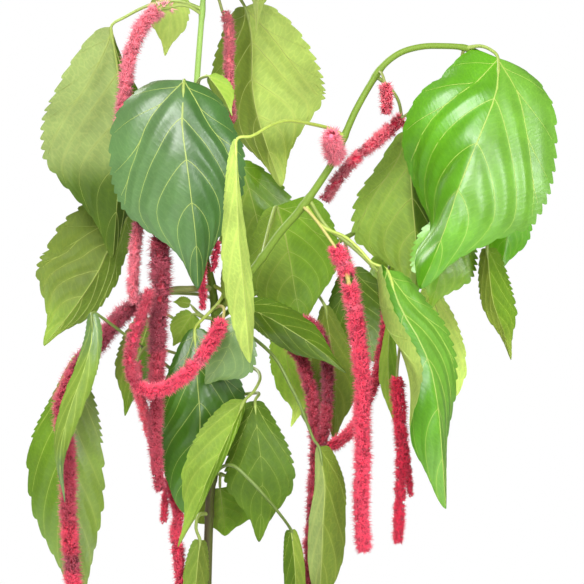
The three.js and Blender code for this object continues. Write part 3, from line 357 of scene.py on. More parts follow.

# Each leaf: the places of its rib and its stalk, and for each half its half-width, the fold at its base and
# at its tip and its curl in degrees, then the fold and the curl at the very tip where they are given. wave is
# a height, a number of waves and a shift. looks is the side that faces the viewer, the tones of the left
# half, the right half and the tip, and how light they are, a factor that is partly painted light: higher
# for leaves that the lamps leave in shade, lower for those they light strongly. teeth says how strong the
# teeth are on the left and on the right, and bands give lengths of the blade in another tone: from, to, tone.
LEAVES = [
    # Its washed-out left half is painted glare; its dark right half and the dark band toward its tip are
    # painted shade
    dict(name="leaf_upper_left", looks=("under", "pale_glare", "dark", "olive", 0.95), bands=[(0.6, 1.0, "dark")],
        widest=[0.43, 0.5], base=[1.05, 2], rib=[[111, 27, 0], [117, 65, 4], [121, 100, 8], [121, 150, 12],
        [118, 190, 14], [113, 258, 20]], stalk=[[199, 10, 0], [178, 1, -2], [150, 5, -2], [125, 17, -1]],
        left=[64, 6, -4, -18], right=[32, -48, -52, 0], wave=[3, 1.6, 0.1]),
    # Its bluish left half is painted sheen and glare on a glossy face
    dict(name="leaf_upper_front", looks=("upper", "slate", "deep_slate", "deep_slate", 0.9),
        teeth=(0.7, 0.7), base=[0.75, 0.65], lobe=[0.06, 0.04], rib=[[184, 80, -50], [183, 100, -60],
        [182, 125, -66], [185, 150, -70], [189, 180, -72], [192, 205, -72], [196, 240, -70],
        [198, 289, -64]], stalk=[[197, 124, 0], [195, 108, -18], [188, 92, -38]], left=[62.5, -4, -14, -22],
        right=[50, -14, -24, -24], wave=[3, 1.4, 0.3]),
    dict(name="leaf_top_left", looks=("under", "lime", "lime", "lime", 0.95), rib=[[172, -22, 26],
        [172, 0, 30], [170, 25, 32], [165, 56, 34]], stalk=[[204, -28, 0], [190, -38, 12], [178, -34, 22]],
        left=[17, -8, -8, -10], right=[14, 0, -8, -10], wave=[1.5, 1.2, 0]),
    # Its darker olive left half is painted shade on the half that folds away
    dict(name="leaf_top_center", looks=("under", "olive", "pale", "pale", 1.12),
        bands=[(0.7, 0.85, "olive")], widest=0.45, base=0.9, rib=[[245, 7, 18], [250, 25, 24],
        [252, 45, 30], [252, 80, 36], [254, 100, 38], [260, 125, 40], [270, 155, 42], [281, 187, 44]],
        stalk=[[204, -42, 0], [216, -34, 6], [231, -14, 12]], left=[44, -28, -44, -16],
        right=[58, 2, -14, -14], wave=[3, 2, 0.6]),
    dict(name="leaf_thin_edge", looks=("upper", "light", "light", "light", 1.2), rib=[[208, 76, -30],
        [216, 86, -33], [224, 98, -33], [232, 116, -31]], stalk=[[198, 88, 0], [200, 79, -16]],
        left=[12, -64, -70, 0], right=[12, -30, -40, 0], wave=[0.8, 1, 0]),
    dict(name="leaf_lime_hanging", looks=("under", "lime", "lime", "lime", 1.1), stalk_tone="stalk_lime",
        widest=0.6, base=[0.45, 1], draw=0.1, rib=[[237, 139, -108], [236, 165, -114], [237, 200, -118],
        [240, 250, -120], [245, 300, -118], [250, 363, -110]], stalk=[[344, 136, -10], [328, 128, -20],
        [300, 122, -48], [285, 121, -64], [270, 126, -82], [252, 136, -102]], left=[25, -48, -50, -8],
        right=[22, -74, -72, 0], wave=[3.5, 2.6, 0.1]),
    dict(name="leaf_center_back", looks=("upper", "light", "mid", "light", 1.2), widest=0.45, base=1,
        rib=[[240, 162, 66], [252, 200, 70], [262, 245, 72], [265, 295, 66]], stalk=[[200, 200, 0],
        [208, 186, 24], [224, 166, 52]], left=[34, -10, -10, -10], right=[34, -14, -14, -10],
        wave=[2, 1.4, 0.2]),
    dict(name="leaf_upper_right", looks=("upper", "vivid", "fresh", "vivid", 0.95), teeth=(0.35, 1.0),
        widest=0.42, base=[0.78, 0.75], lobe=[0.12, 0.01], draw=[0.15, 0.66], rib=[[498, 58, -14],
        [498, 80, -28], [494, 100, -38], [478, 140, -52], [468, 165, -58], [458, 190, -62], [450, 215, -64],
        [441, 240, -64], [432, 263, -62], [420, 289, -56]], stalk=[[466, 48, 3], [480, 46, -3],
        [491, 50, -8]], left=[68, -8, -72, -18, -46], right=[68, -6, -4, -16], wave=[3, 1.5, 0.5]),
    # Its dark right half is painted shadow
    dict(name="leaf_right_olive", looks=("under", "light", "dark", "light", 1.05), widest=0.5, base=1,
        rib=[[405, 132, 30], [410, 165, 30], [412, 195, 26], [416, 245, 18], [415, 296, 10]],
        stalk=[[376, 76, -3], [388, 86, 6], [398, 100, 15], [402, 118, 24]], left=[50, -4, -14, -12],
        right=[38, -44, -44, 0], wave=[2.5, 1.8, 0.4]),
    dict(name="leaf_center", looks=("under", "light", "mid", "mid", 1.2), teeth=(0.4, 0.4),
        widest=[0.5, 0.34], base=[0.65, 0.4], lobe=[0.04, 0], draw=[0.2, 0.3], rib=[[276, 206, 22],
        [283, 226, 27], [290, 260, 30], [295, 291, 30], [301, 322, 26]], stalk=[[262, 258, -8],
        [266, 240, 4], [271, 220, 13]], left=[38, -6, -10, -14], right=[42, -6, -10, -14],
        wave=[2.5, 1.5, 0.7]),
    dict(name="leaf_center_low", looks=("upper", "dark", "dark", "dark", 1.0), teeth=(0.4, 0.6),
        rib=[[238, 306, -12], [262, 314, -22], [290, 330, -28], [320, 350, -32], [346, 373, -34]],
        stalk=[[223, 304, -2], [230, 305, -8]], left=[19, -30, -34, -10], right=[20, -42, -46, 0],
        wave=[1.5, 1.5, 0]),
    dict(name="leaf_right_back", looks=("upper", "vivid", "vivid", "vivid", 1.35), rib=[[505, 188, 30],
        [508, 215, 32], [506, 245, 32], [500, 272, 30]], stalk=[[500, 134, 10], [504, 160, 22]],
        left=[26, -18, -20, 0], right=[20, -18, -20, 0], wave=[1.5, 1.5, 0.4]),
    dict(name="leaf_right_twisted", looks=("under", "olive", "mid", "olive", 1.1), teeth=(1.2, 1.5),
        rib=[[487, 248, -20], [490, 280, -22], [494, 305, -22], [503, 330, -22], [511, 360, -18]],
        stalk=[[500, 126, 10], [496, 160, -6], [490, 210, -14]], left=[12, -44, -52, 0],
        right=[21, -42, -34, 0], wave=[2, 1.8, 0.2]),
    dict(name="leaf_right_dark", looks=("upper", "fresh", "mid", "mid", 1.5), teeth=(1.2, 1.3),
        rib=[[447, 222, -6], [444, 250, -10], [440, 275, -12], [431, 308, -12]], stalk=[[499, 114, 9],
        [480, 160, 2], [460, 196, -4]], left=[24, -10, -10, 0], right=[27, -12, -14, -10],
        wave=[1.5, 1.5, 0.1]),
    dict(name="leaf_right_front", looks=("upper", "vivid", "fresh", "fresh", 0.95), stalk_tone="stalk_lime",
        teeth=(0.35, 1.3), lobe=0.03, draw=0.5, rib=[[387, 270, -40], [393, 288, -48], [402, 311, -54],
        [418, 338, -60], [430, 366, -64], [437, 400, -66], [441, 440, -64], [446, 509, -56]],
        stalk=[[306, 206, -12], [322, 226, -20], [345, 237, -28], [360, 250, -34], [372, 263, -38]],
        left=[50, 0, 4, 155, -20, 60], right=[31.5, -36, -70, -6], wave=[2.5, 2.4, 0.75]),
    dict(name="leaf_right_pale", looks=("under", "lime", "pale", "lime", 1.6), widest=0.52,
        rib=[[428, 285, 50], [440, 320, 52], [446, 360, 52], [444, 395, 50], [437, 432, 46]],
        stalk=[[414, 247, 50], [421, 258, 54], [426, 272, 54]], left=[26, -20, -20, 0],
        right=[16, -6, -6, 0], wave=[1.5, 1.5, 0.6]),
    dict(name="leaf_right_yellow", looks=("under", "light", "mid", "light", 1.35), widest=[0.7, 0.6],
        rib=[[392, 290, -4], [390, 320, 0], [388, 360, 4], [390, 395, 6], [396, 425, 6]],
        stalk=[[310, 200, -12], [326, 226, -10], [345, 241, -16], [360, 254, -20], [374, 268, -16],
        [386, 279, -9]], left=[9, -24, -24, 0], right=[12, -50, -50, 0], wave=[1, 1.5, 0.3]),
    dict(name="leaf_right_small", looks=("upper", "light", "light", "mid", 1.8), rib=[[397, 240, 74],
        [394, 262, 77], [391, 280, 77], [388, 304, 74]], stalk=[[402, 233, 52], [402, 234, 64]],
        left=[18, -4, -4, 0], right=[16, -20, -20, 0], wave=[1, 1.5, 0.3]),
    dict(name="leaf_behind_catkin", looks=("upper", "dark", "dark", "dark", 1.05), teeth=(0.6, 0.6),
        widest=0.5, rib=[[352, 268, 62], [360, 300, 64], [368, 330, 62], [374, 362, 58]],
        stalk=[[345, 238, 48], [347, 252, 58]], left=[31, -8, -8, -8], right=[27, -8, -8, -8],
        wave=[2, 1.4, 0.8]),
    dict(name="leaf_light_low", looks=("under", "olive", "olive", "olive", 1.0), widest=0.55,
        rib=[[325, 306, 44], [331, 345, 46], [336, 392, 44], [334, 440, 40]], stalk=[[300, 264, 49],
        [311, 284, 48]], left=[20, -20, -20, 0], right=[20, -12, -14, 0], wave=[1.5, 1.5, 0.5]),
    # Its washed-out tone is painted glare
    dict(name="leaf_grey_low", looks=("under", "pale_glare", "pale_glare", "pale_glare", 1.2), rib=[[300, 345, 78],
        [304, 375, 80], [309, 405, 78], [312, 440, 72]], stalk=[[268, 285, 46], [280, 306, 62],
        [294, 330, 74]], left=[13, -10, -10, 0], right=[14, -10, -10, 0], wave=[1, 1.2, 0.1]),
    dict(name="leaf_hooked", looks=("under", "light", "light", "pale", 2.0), rib=[[284, 328, 58],
        [285, 350, 60], [292, 380, 62], [298, 405, 60], [291, 427, 54]], stalk=[[260, 290, 44],
        [268, 306, 54], [278, 318, 58]], left=[14, -12, -12, 0], right=[14, -12, -12, 0],
        wave=[1, 1.2, 0.6]),
    dict(name="leaf_low_front", looks=("under", "light", "mid", "light", 1.05), teeth=(0.8, 0.5),
        rib=[[245, 400, -44], [233, 425, -62], [219, 455, -72], [207, 480, -76], [194, 515, -76],
        [178, 547, -68]], stalk=[[215, 366, 0], [236, 364, 6], [255, 369, 3], [260, 378, -16],
        [254, 391, -34]], left=[26.5, -28, -36, -10], right=[10, -56, -60, 0], wave=[2.2, 2.2, 0.4]),
    dict(name="leaf_low_back", looks=("under", "dark", "dark", "dark", 1.05), widest=0.5,
        rib=[[255, 401, -28], [257, 428, -40], [262, 470, -46], [262, 500, -44], [259, 542, -36]],
        stalk=[[215, 396, 0], [236, 395, 6], [254, 393, 4], [259, 394, -12]], left=[29, -8, -8, -10],
        right=[24.5, -6, -8, -10], wave=[2, 1.6, 0.2]),
    dict(name="leaf_bottom_left", looks=("under", "light", "olive", "olive", 0.8), rib=[[200, 540, -20],
        [197, 570, -22], [195, 600, -22], [197, 640, -18]], stalk=[[209, 512, 0], [199, 515, -9],
        [196, 528, -16]], left=[11, -24, -24, 0], right=[12, -40, -40, 0], wave=[1, 1.5, 0.2]),
    dict(name="leaf_bottom_right", looks=("under", "dark", "olive", "olive", 1.0), stalk_tone="stalk_dark",
        teeth=(0.4, 0.4), rib=[[291, 530, -24], [294, 555, -24], [296, 590, -22], [297, 638, -18]],
        stalk=[[213, 478, 0], [214, 476, -24], [222, 467, -46], [234, 466, -58], [250, 480, -62],
        [264, 495, -60], [279, 513, -44]], left=[11, -34, -34, 0], right=[9, -30, -30, 0],
        wave=[1, 1.5, 0.5]),
    # Its washed-out left half is painted glare
    dict(name="leaf_hanging_low", looks=("under", "pale_glare", "olive", "olive", 0.95), stalk_tone="stalk_dark",
        teeth=(0.4, 0.4), widest=[0.5, 0.38], rib=[[319, 447, -32], [323, 470, -34], [325, 490, -34],
        [323, 520, -34], [322, 550, -32], [320, 590, -30], [318, 636, -26]], stalk=[[215, 336, 0],
        [232, 332, -2], [250, 336, -16], [275, 358, -36], [290, 385, -42], [300, 405, -40],
        [313, 438, -34]], left=[18, -50, -54, 0], right=[22.5, -38, -34, 0], wave=[1.5, 2, 0.1]),
    # The warm band at its top is painted shade on the curled top
    dict(name="leaf_lower_left", looks=("upper", "mid", "light", "light", 0.9), bands=[(-0.2, 0.1, "warm")],
        widest=[0.45, 0.38], base=[1.7, 1.3], draw=0.25, rib=[[72, 360, 20], [67, 400, 16], [63, 450, 14],
        [66, 500, 12], [73, 550, 12], [80, 600, 14]], stalk=[[214, 298, 2], [195, 294, 12], [165, 294, 16],
        [145, 303, 18], [125, 316, 18], [105, 335, 20], [86, 351, 20]], left=[31, -12, -16, -16],
        right=[32, -12, -12, -12], wave=[2, 1.8, 0.3]),
    # The bluish band at its curled top and the slate band near its tip are painted sheen
    dict(name="leaf_left_twisted", looks=("upper", "light", "light", "light", 0.75),
        stalk_tone="stalk_dark", bands=[(-0.2, 0.2, "bluish"), (0.76, 1.2, "slate")], lobe=0.03,
        rib=[[92, 313, -62], [92, 338, -66], [84, 370, -68], [73, 400, -66], [63, 435, -64], [60, 465, -62],
        [65, 503, -58]], stalk=[[215, 398, 0], [190, 384, 0], [166, 365, 0], [150, 352, -16],
        [132, 340, -36], [104, 319, -54]], left=[9.5, -36, -30, 0], right=[10.5, -30, 0, 60],
        wave=[1, 1.8, 0.6]),
    dict(name="leaf_left_middle", looks=("under", "olive", "light", "light", 0.95), stalk_tone="stalk_dark",
        base=[0.5, 0.65], rib=[[128, 215, 54], [108, 250, 50], [98, 272, 46], [75, 307, 36], [44, 346, 24]],
        stalk=[[202, 225, 0], [180, 202, 28], [150, 200, 46]], left=[47.5, -8, -12, -12],
        right=[23, -48, -44, 0], wave=[2.5, 1.8, 0.2]),
    dict(name="leaf_between_catkins", looks=("upper", "olive", "mid", "mid", 1.05), rib=[[150, 318, 4],
        [140, 350, 6], [132, 380, 8], [125, 416, 10]], stalk=[[215, 336, 0], [185, 326, 4], [165, 314, 4]],
        left=[20, -34, -36, 0], right=[20, -44, -44, 0], wave=[1.5, 1.5, 0.4]),
    dict(name="leaf_center_left", looks=("upper", "deep", "deep", "deep", 1.0), stalk_tone="stalk_lime",
        teeth=(0.35, 0.35), widest=[0.55, 0.44], base=[0.7, 1], draw=[0.3, 0.62], rib=[[195, 329, -14],
        [196, 360, -20], [198, 390, -24], [200, 415, -26], [199, 440, -26], [193, 475, -26],
        [184, 513, -24]], stalk=[[212, 284, 0], [223, 292, -8], [219, 302, -14], [210, 312, -18],
        [201, 321, -17]], left=[38.5, -8, -12, -10], right=[40, -8, -50, -6], wave=[2.5, 1.6, 0.8]),
    # Its bluish tone is partly painted sheen
    dict(name="leaf_bluish", looks=("upper", "bluish", "bluish", "bluish", 1.0), widest=0.5,
        rib=[[236, 318, -42], [231, 340, -46], [221, 362, -44], [205, 384, -40]], stalk=[[214, 326, 0],
        [232, 322, -2], [241, 317, -22], [240, 315, -38]], left=[20, -6, -6, -8], right=[24, -6, -6, -8],
        wave=[1.5, 1.4, 0.2]),
    dict(name="leaf_stem_strip", looks=("upper", "light", "light", "light", 1.2), rib=[[227, 262, -20],
        [228, 285, -23], [229, 312, -23]], stalk=[[206, 256, 0], [217, 252, 4], [225, 255, -8]],
        left=[14, -66, -66, 0], right=[14, -66, -66, 0], wave=[0.5, 1.5, 0.2]),
    dict(name="leaf_crown_left", looks=("upper", "mid", "mid", "mid", 1.0), rib=[[172, -92, -20],
        [150, -84, -26], [125, -62, -30], [104, -30, -30], [94, -6, -28]], stalk=[[206, -78, 3],
        [190, -90, -10]], left=[30, -14, -14, 0], right=[30, -14, -14, 0], wave=[2, 1.5, 0.2]),
    dict(name="leaf_crown_right", looks=("under", "pale", "pale", "pale", 1.3), rib=[[246, -82, -16],
        [256, -58, -24], [260, -24, -28], [258, 4, -28], [256, 33, -26]], stalk=[[206, -70, 3],
        [224, -84, -4], [238, -88, -12]], left=[30, -66, -74, 0], right=[30, -66, -74, 0],
        wave=[1, 1.5, 0.2]),
    dict(name="leaf_crown_front", looks=("upper", "fresh", "fresh", "fresh", 1.0), rib=[[214, -98, -26],
        [220, -86, -54], [224, -58, -78], [226, -24, -88], [226, -8, -88]], stalk=[[206, -86, 3],
        [208, -96, -12]], left=[28, -16, -18, 0], right=[28, -16, -18, 0], wave=[2, 1.5, 0.6]),
    dict(name="leaf_crown_back", looks=("upper", "mid", "mid", "mid", 1.0), rib=[[198, -94, 34],
        [192, -84, 62], [186, -56, 86], [182, -24, 94], [180, -10, 94]], stalk=[[206, -84, 3],
        [203, -94, 20]], left=[28, 14, 14, 0], right=[28, 14, 14, 0], wave=[2, 1.5, 0.4]),
]

# Sprigs: a short shoot from the wood, and small leaves that grow from its end, all with the same looks
SPRIGS = [
    dict(name="sprig_low", looks=("under", "light", "mid", "mid", 1.3),
        shoot=[[213, 473, 0], [221, 474, -10]], leaves=[
        dict(rib=[[238, 480, -12], [248, 497, -12], [256, 512, -12], [264, 527, -12]],
            stalk=[[229, 477, -11]], left=[8, -20, -20, 0], right=[9, -20, -20, 0], wave=[0.5, 1, 0]),
        dict(widest=0.5, rib=[[220, 488, 6], [222, 504, 8], [224, 520, 8], [225, 536, 8]],
            stalk=[[220, 479, -2]], left=[24, -10, -10, 0], right=[28, -10, -10, 0], wave=[1, 1.4, 0.3]),
    ]),
    dict(name="sprig_left", looks=("under", "light", "light", "light", 1.3),
        shoot=[[214, 318, 0], [203, 317, -5]], leaves=[
        dict(rib=[[193, 314, -6], [186, 323, -5], [179, 335, -4], [173, 346, -2]], stalk=[[198, 315, -6]],
            left=[11, -20, -20, 0], right=[13, -20, -20, 0], wave=[0.5, 1, 0.2]),
        dict(rib=[[190, 304, -6], [182, 302, -5], [173, 302, -4]], stalk=[[196, 311, -6]],
            left=[5, -30, -30, 0], right=[5, -30, -30, 0], wave=[0.3, 1, 0]),
    ]),
    dict(name="shoot_tip", looks=("upper", "light", "light", "lime", 1.0),
        shoot=[[207, -99, 4], [208, -114, 4]], leaves=[
        dict(rib=[[206, -122, 2], [198, -132, -6], [186, -142, -12], [172, -146, -16]],
            stalk=[[207, -117, 4]], left=[11, 24, 24, 0], right=[11, 24, 24, 0], wave=[0.5, 1, 0.2]),
        dict(rib=[[212, -122, 8], [220, -134, 14], [232, -144, 18], [246, -147, 20]],
            stalk=[[209, -118, 5]], left=[12, 24, 24, 0], right=[12, 24, 24, 0], wave=[0.5, 1, 0.2]),
        dict(rib=[[208, -124, 12], [207, -138, 20], [204, -150, 22]], stalk=[[208, -119, 7]],
            left=[6, 20, 20, 0], right=[6, 20, 20, 0], wave=[0.3, 1, 0.2]),
    ]),
]

# Each catkin: its bare axis from the wood, then its tufted length and the tuft radius at both ends. second
# and its radius are those of another tufted length that forks off. looks are the threads' tone, the tone at
# their ends, partly their own paler tips and partly painted highlight, the tone deep inside, painted shade on
# the core and the threads' feet, and that of the axis. bands give lengths in another thread tone: from, to,
# tone, and the share of threads left standing.
CATKINS = [
    dict(name="catkin_upper_left", looks=("dusty", "coral", "core_pale", "stalk"),
        bands=[(-0.1, 0.1, "coral", 0.2)], axis=[[200, 14, 0], [190, 7, -8], [180, 5, -12]],
        path=[[172, 7, -14], [160, 9, -17], [150, 16, -20], [141, 28, -22], [135, 42, -23], [130, 55, -24],
        [127, 70, -24], [125, 90, -25], [123, 105, -25], [121, 125, -26], [124, 150, -26]],
        radius=[6.5, 5]),
    dict(name="catkin_top", looks=("faded", "rose", "core_pale", "axis_green"), axis=[[204, -34, 0],
        [212, -20, -8], [219, 0, -14]], path=[[223, 13, -15], [229, 24, -15], [229, 60, -15],
        [229, 95, -15], [232, 122, -15]], radius=[4.6, 4]),
    # The wine band at its start is painted shade on its shaded upper part
    dict(name="catkin_left_long", looks=("crimson", "rose", "core", "axis_green"),
        bands=[(-0.1, 0.3, "wine", 1.0), (0.76, 0.85, "red", 1.0), (0.86, 0.9, "wine", 0.8),
        (0.91, 1.1, "pink", 1.0)], thick=2.7, axis=[[213, 288, 0], [190, 289, -5], [172, 290, -8]],
        path=[[150, 298, -10], [128, 310, -12], [112, 325, -14], [98, 345, -16], [82, 358, -18],
        [74, 372, -20], [66, 390, -22], [61, 410, -22], [66, 440, -22], [68, 470, -22], [68, 500, -22],
        [70, 540, -22], [74, 584, -22], [77, 604, -22]], radius=[7, 6.4]),
    dict(name="catkin_left_short", looks=("dusty", "coral", "core_pale", "axis_green"), axis=[[202, 210, 0],
        [180, 196, -14], [160, 196, -22], [147, 208, -26]], path=[[140, 220, -27], [136, 240, -28],
        [134, 265, -29], [133, 290, -29], [136, 304, -30]], radius=[5, 4.6]),
    dict(name="catkin_left_low", looks=("pink", "coral", "core_pale", "axis_green"), axis=[[214, 358, 0],
        [190, 357, 2], [165, 350, 0], [152, 345, -18], [143, 350, -30]], path=[[137, 362, -36],
        [136, 380, -38], [140, 397, -38], [146, 418, -38], [152, 442, -38]], radius=[4.8, 4.4]),
    dict(name="catkin_left_thick", looks=("crimson", "rose", "core", "axis_green"),
        bands=[(0.05, 0.45, "wine", 1.0)], axis=[[202, 232, 0], [186, 216, -16], [170, 222, -30]],
        path=[[160, 238, -38], [160, 262, -42], [161, 285, -46], [158, 320, -48], [157, 360, -48],
        [156, 400, -48], [155, 440, -48], [158, 475, -46], [160, 490, -46]], radius=[8.6, 4.6]),
    dict(name="catkin_curved", looks=("pink", "rose", "core", "axis_yellow"),
        bands=[(0.2, 0.24, "rose", 0.5), (0.55, 1.1, "crimson", 1.0)], axis=[[214, 308, 0], [220, 306, -24],
        [224, 309, -46]], path=[[222, 322, -60], [214, 337, -68], [205, 352, -72], [185, 375, -76],
        [165, 388, -78], [150, 391, -78], [137, 384, -78], [131, 368, -78], [131, 350, -77],
        [138, 325, -75], [147, 302, -74], [150, 290, -74]], radius=[6, 5]),
    dict(name="catkin_low_pair", looks=("red", "rose", "core", "axis_green"), axis=[[213, 444, 0],
        [198, 440, -5], [182, 452, -7]], path=[[174, 472, -8], [173, 492, -8], [178, 512, -8],
        [176, 535, -8], [179, 560, -8], [181, 592, -8]], radius=[5.2, 5], second=[[182, 452, -7],
        [170, 468, -6], [166, 488, -6], [164, 523, -6]], second_radius=3.6),
    dict(name="catkin_center_long", looks=("pink", "rose", "core", "axis_yellow"),
        bands=[(0.05, 0.08, "rose", 0.6), (0.1, 0.135, "rose", 0.12), (0.19, 0.22, "rose", 0.45)],
        axis=[[303, 206, -12], [311, 214, -26], [322, 228, -36]], path=[[335, 247, -42], [340, 256, -43],
        [345, 268, -44], [350, 288, -46], [355, 312, -47], [358, 338, -48], [361, 362, -48],
        [363, 385, -48], [362, 420, -48], [363, 460, -48], [361, 500, -48], [364, 550, -48]],
        radius=[7, 6.2]),
    dict(name="catkin_center_slanted", looks=("red", "rose", "core", "axis_green"), axis=[[394, 227, 52],
        [394, 250, 48], [388, 272, 38]], path=[[386, 290, 31], [387, 312, 30], [385, 336, 28],
        [381, 354, 24], [377, 374, 20], [362, 412, 7], [353, 428, 3], [343, 438, -1], [328, 448, -5]],
        radius=[4.6, 5.2]),
    dict(name="catkin_center_pair", looks=("crimson", "rose", "core", "axis_green"),
        bands=[(0.2, 0.7, "wine", 1.0)], axis=[[244, 301, 32], [256, 309, 25], [270, 316, 13],
        [286, 320, 4]], path=[[302, 321, 0], [313, 325, -3], [321, 338, -4], [326, 355, -4], [328, 375, -4],
        [327, 400, -4], [325, 425, -4], [322, 444, -4]], radius=[5.4, 5], second=[[270, 316, 13],
        [284, 338, 5], [300, 356, 3], [306, 372, 2], [311, 392, 1], [314, 415, 0], [316, 440, 0],
        [315, 470, 0], [313, 500, 0], [311, 530, 0], [309, 560, 0], [307, 592, 0]], second_radius=5.6),
    dict(name="catkin_right_pair", looks=("red", "pink", "core", "axis_green"), axis=[[408, 240, 51],
        [407, 272, 40], [405, 305, 12], [400, 345, -16]], path=[[397, 378, -26], [400, 420, -28],
        [402, 455, -28], [401, 480, -28], [399, 515, -28], [398, 542, -28]], radius=[5.6, 4.6],
        second=[[400, 420, -27], [405, 445, -25], [408, 470, -24], [410, 496, -24]], second_radius=3.4),
    dict(name="catkin_right_upper", looks=("red", "coral", "core", "axis_green"),
        bands=[(0.42, 0.5, "crimson", 0.6), (0.6, 1.1, "crimson", 0.75)], axis=[[464, 48, 3], [456, 72, 10],
        [431, 98, 10]], path=[[402, 118, 4], [380, 138, -1], [358, 156, -2], [342, 174, 1], [324, 200, 6]],
        radius=[5.6, 5]),
    dict(name="catkin_right_small", looks=("red", "coral", "core", "axis_green"), axis=[[379, 71, -2],
        [382, 74, -12]], path=[[385, 84, -17], [387, 96, -18], [386, 113, -18]], radius=[5.6, 5]),
    dict(name="catkin_bud", looks=("rose", "coral", "dusty", "axis_green"), axis=[[338, 153, -11],
        [337, 158, -19]], path=[[336, 158, -26], [333, 147, -40], [331, 134, -52]], radius=[8, 7.6]),
    dict(name="catkin_stem", looks=("pink", "rose", "core", "axis_green"), axis=[[202, 226, 0],
        [204, 230, -10]], path=[[211, 236, -11], [217, 246, -11], [215, 258, -11], [213, 272, -11]],
        radius=[3.2, 3], second=[[204, 230, -10], [202, 250, -11], [203, 264, -12], [203, 285, -12],
        [203, 309, -12]], second_radius=3.6),
]


def spot(places):
    """Places of the front drawing, as points in metres."""
    places = np.asarray(places, float).reshape(-1, 3)
    size = STEP_SIZE * (EYE_DISTANCE + places[:, 2]) / EYE_DISTANCE
    across = EYE_ACROSS + (places[:, 0] - EYE_COLUMN) * size
    height = EYE_HEIGHT + (EYE_ROW - places[:, 1]) * size
    return np.stack([across, places[:, 2], height], axis=1) * MM


def linear(tone, light=1.0):
    """A named sRGB tone as linear colour with alpha 1."""
    share = np.array(TONES[tone]) / 255
    color = np.where(share > 0.04045, ((share + 0.055) / 1.055) ** 2.4, share / 12.92) * light
    return np.append(color, 1.0)


def smooth(value, low, high):
    """0 up to the low value and 1 from the high one, with a soft passage between them."""
    share = np.clip((value - low) / (high - low), 0, 1)
    return share * share * (3 - 2 * share)


def in_band(shares, start, end, edge):
    """How far each share lies inside a band with soft ends."""
    return smooth(shares, start - edge, start + edge) * (1 - smooth(shares, end - edge, end + edge))


def between(first, second, share):
    """A value on the way from the first to the second."""
    return first + (second - first) * share


def ranging(span, share):
    """A range's start plus a share of its reach."""
    return span[0] + span[1] * share


def mixed(first, second, share):
    """Rows between two values, by a share for each row."""
    share = np.asarray(share)[:, None]
    return np.asarray(first) * (1 - share) + np.asarray(second) * share


def unit(rows):
    """Rows with their length made 1."""
    return rows / (np.linalg.norm(rows, axis=1, keepdims=True) + 1e-12)


class Line:
    """A smooth line through points, read by its share of the length."""

    def __init__(self, points):
        points = np.asarray(points, float)
        ends = np.vstack([2 * points[0] - points[1], points, 2 * points[-1] - points[-2]])
        spans = len(points) - 1
        steps = np.linspace(0, spans, LINE_SAMPLES + 1)
        span = np.minimum(steps.astype(int), spans - 1)
        time = (steps - span)[:, None]
        before, start, end, after = (ends[span + shift] for shift in range(4))
        slope_in = 0.5 * (end - before)
        slope_out = 0.5 * (after - start)
        square = 3 * (end - start) - 2 * slope_in - slope_out
        cube = 2 * (start - end) + slope_in + slope_out
        self.points = start + slope_in * time + square * time ** 2 + cube * time ** 3
        pieces = np.linalg.norm(np.diff(self.points, axis=0), axis=1)
        self.reach = np.concatenate([[0], np.cumsum(pieces)])
        self.length = self.reach[-1]

    def at(self, share):
        where = np.clip(share, 0, 1) * self.length
        return np.stack([np.interp(where, self.reach, self.points[:, axis]) for axis in range(3)], axis=-1)

    def tangent(self, share):
        share = np.asarray(share, float)
        ahead = self.at(np.clip(share + SLOPE_NUDGE, 0, 1))
        return unit(ahead - self.at(np.clip(share - SLOPE_NUDGE, 0, 1)))

    def steps(self, step, least):
        """How many steps of the given millimetres the line takes, but no fewer than the least."""
        return max(least, round(self.length / (step * MM)))


def flipped(face):
    """A face turned over with its first corner kept, so that it splits along the same diagonal."""
    return (face[0], *face[:0:-1])


def ring_faces(rings, sides, first=0):
    """Faces between rings that follow one another, each with the same number of points."""
    faces = []
    for ring in range(rings - 1):
        for side in range(sides):
            low = first + ring * sides + side
            high = first + ring * sides + (side + 1) % sides
            faces.append((low, high, high + sides, low + sides))
    return faces


class Build:
    """The points, faces and colours of one object, gathered part by part."""

    def __init__(self):
        self.points = []
        self.tints = []
        self.nets = []
        self.faces = []
        self.slots = []
        self.count = 0

    def add(self, points, faces, slot, tints, nets=None):
        points = np.asarray(points)
        tints = np.asarray(tints)
        if tints.ndim == 1:
            tints = np.tile(tints, (len(points), 1))
        self.points.append(points)
        self.tints.append(tints)
        self.nets.append(np.zeros((len(points), 3)) if nets is None else nets)
        self.faces.extend(tuple(corner + self.count for corner in face) for face in faces)
        self.slots.extend(slot if isinstance(slot, list) else [slot] * len(faces))
        self.count += len(points)

    def add_tube(self, line, radii, sides, steps, slot, tint):
        """Adds a closed round tube along a line, all in one tint."""
        points, faces = tube(line, radii, sides, steps)[:2]
        self.add(points, faces, slot, tint)

    def piece(self, node, materials, crease=CREASE):
        """Makes the object, smooth but for edges sharper than the crease, and lets it stand for its node."""
        mesh = bpy.data.meshes.new("fine_" + node)
        mesh.from_pydata(np.concatenate(self.points).tolist(), [], self.faces)
        for material in materials:
            mesh.materials.append(material)
        mesh.polygons.foreach_set("material_index", self.slots)
        mesh.polygons.foreach_set("use_smooth", [True] * len(self.faces))
        tint = mesh.color_attributes.new(name="tint", type="FLOAT_COLOR", domain="POINT")
        tint.data.foreach_set("color", np.concatenate(self.tints).astype(np.float32).ravel())
        net = mesh.attributes.new(name="net", type="FLOAT_VECTOR", domain="POINT")
        net.data.foreach_set("vector", np.concatenate(self.nets).astype(np.float32).ravel())
        mesh.update()
        if crease:
            mesh.set_sharp_from_angle(angle=math.radians(crease))
        item = bpy.data.objects.new("fine_" + node, mesh)
        bpy.context.scene.collection.objects.link(item)
        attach(item, "root")
        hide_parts(node)
        return item


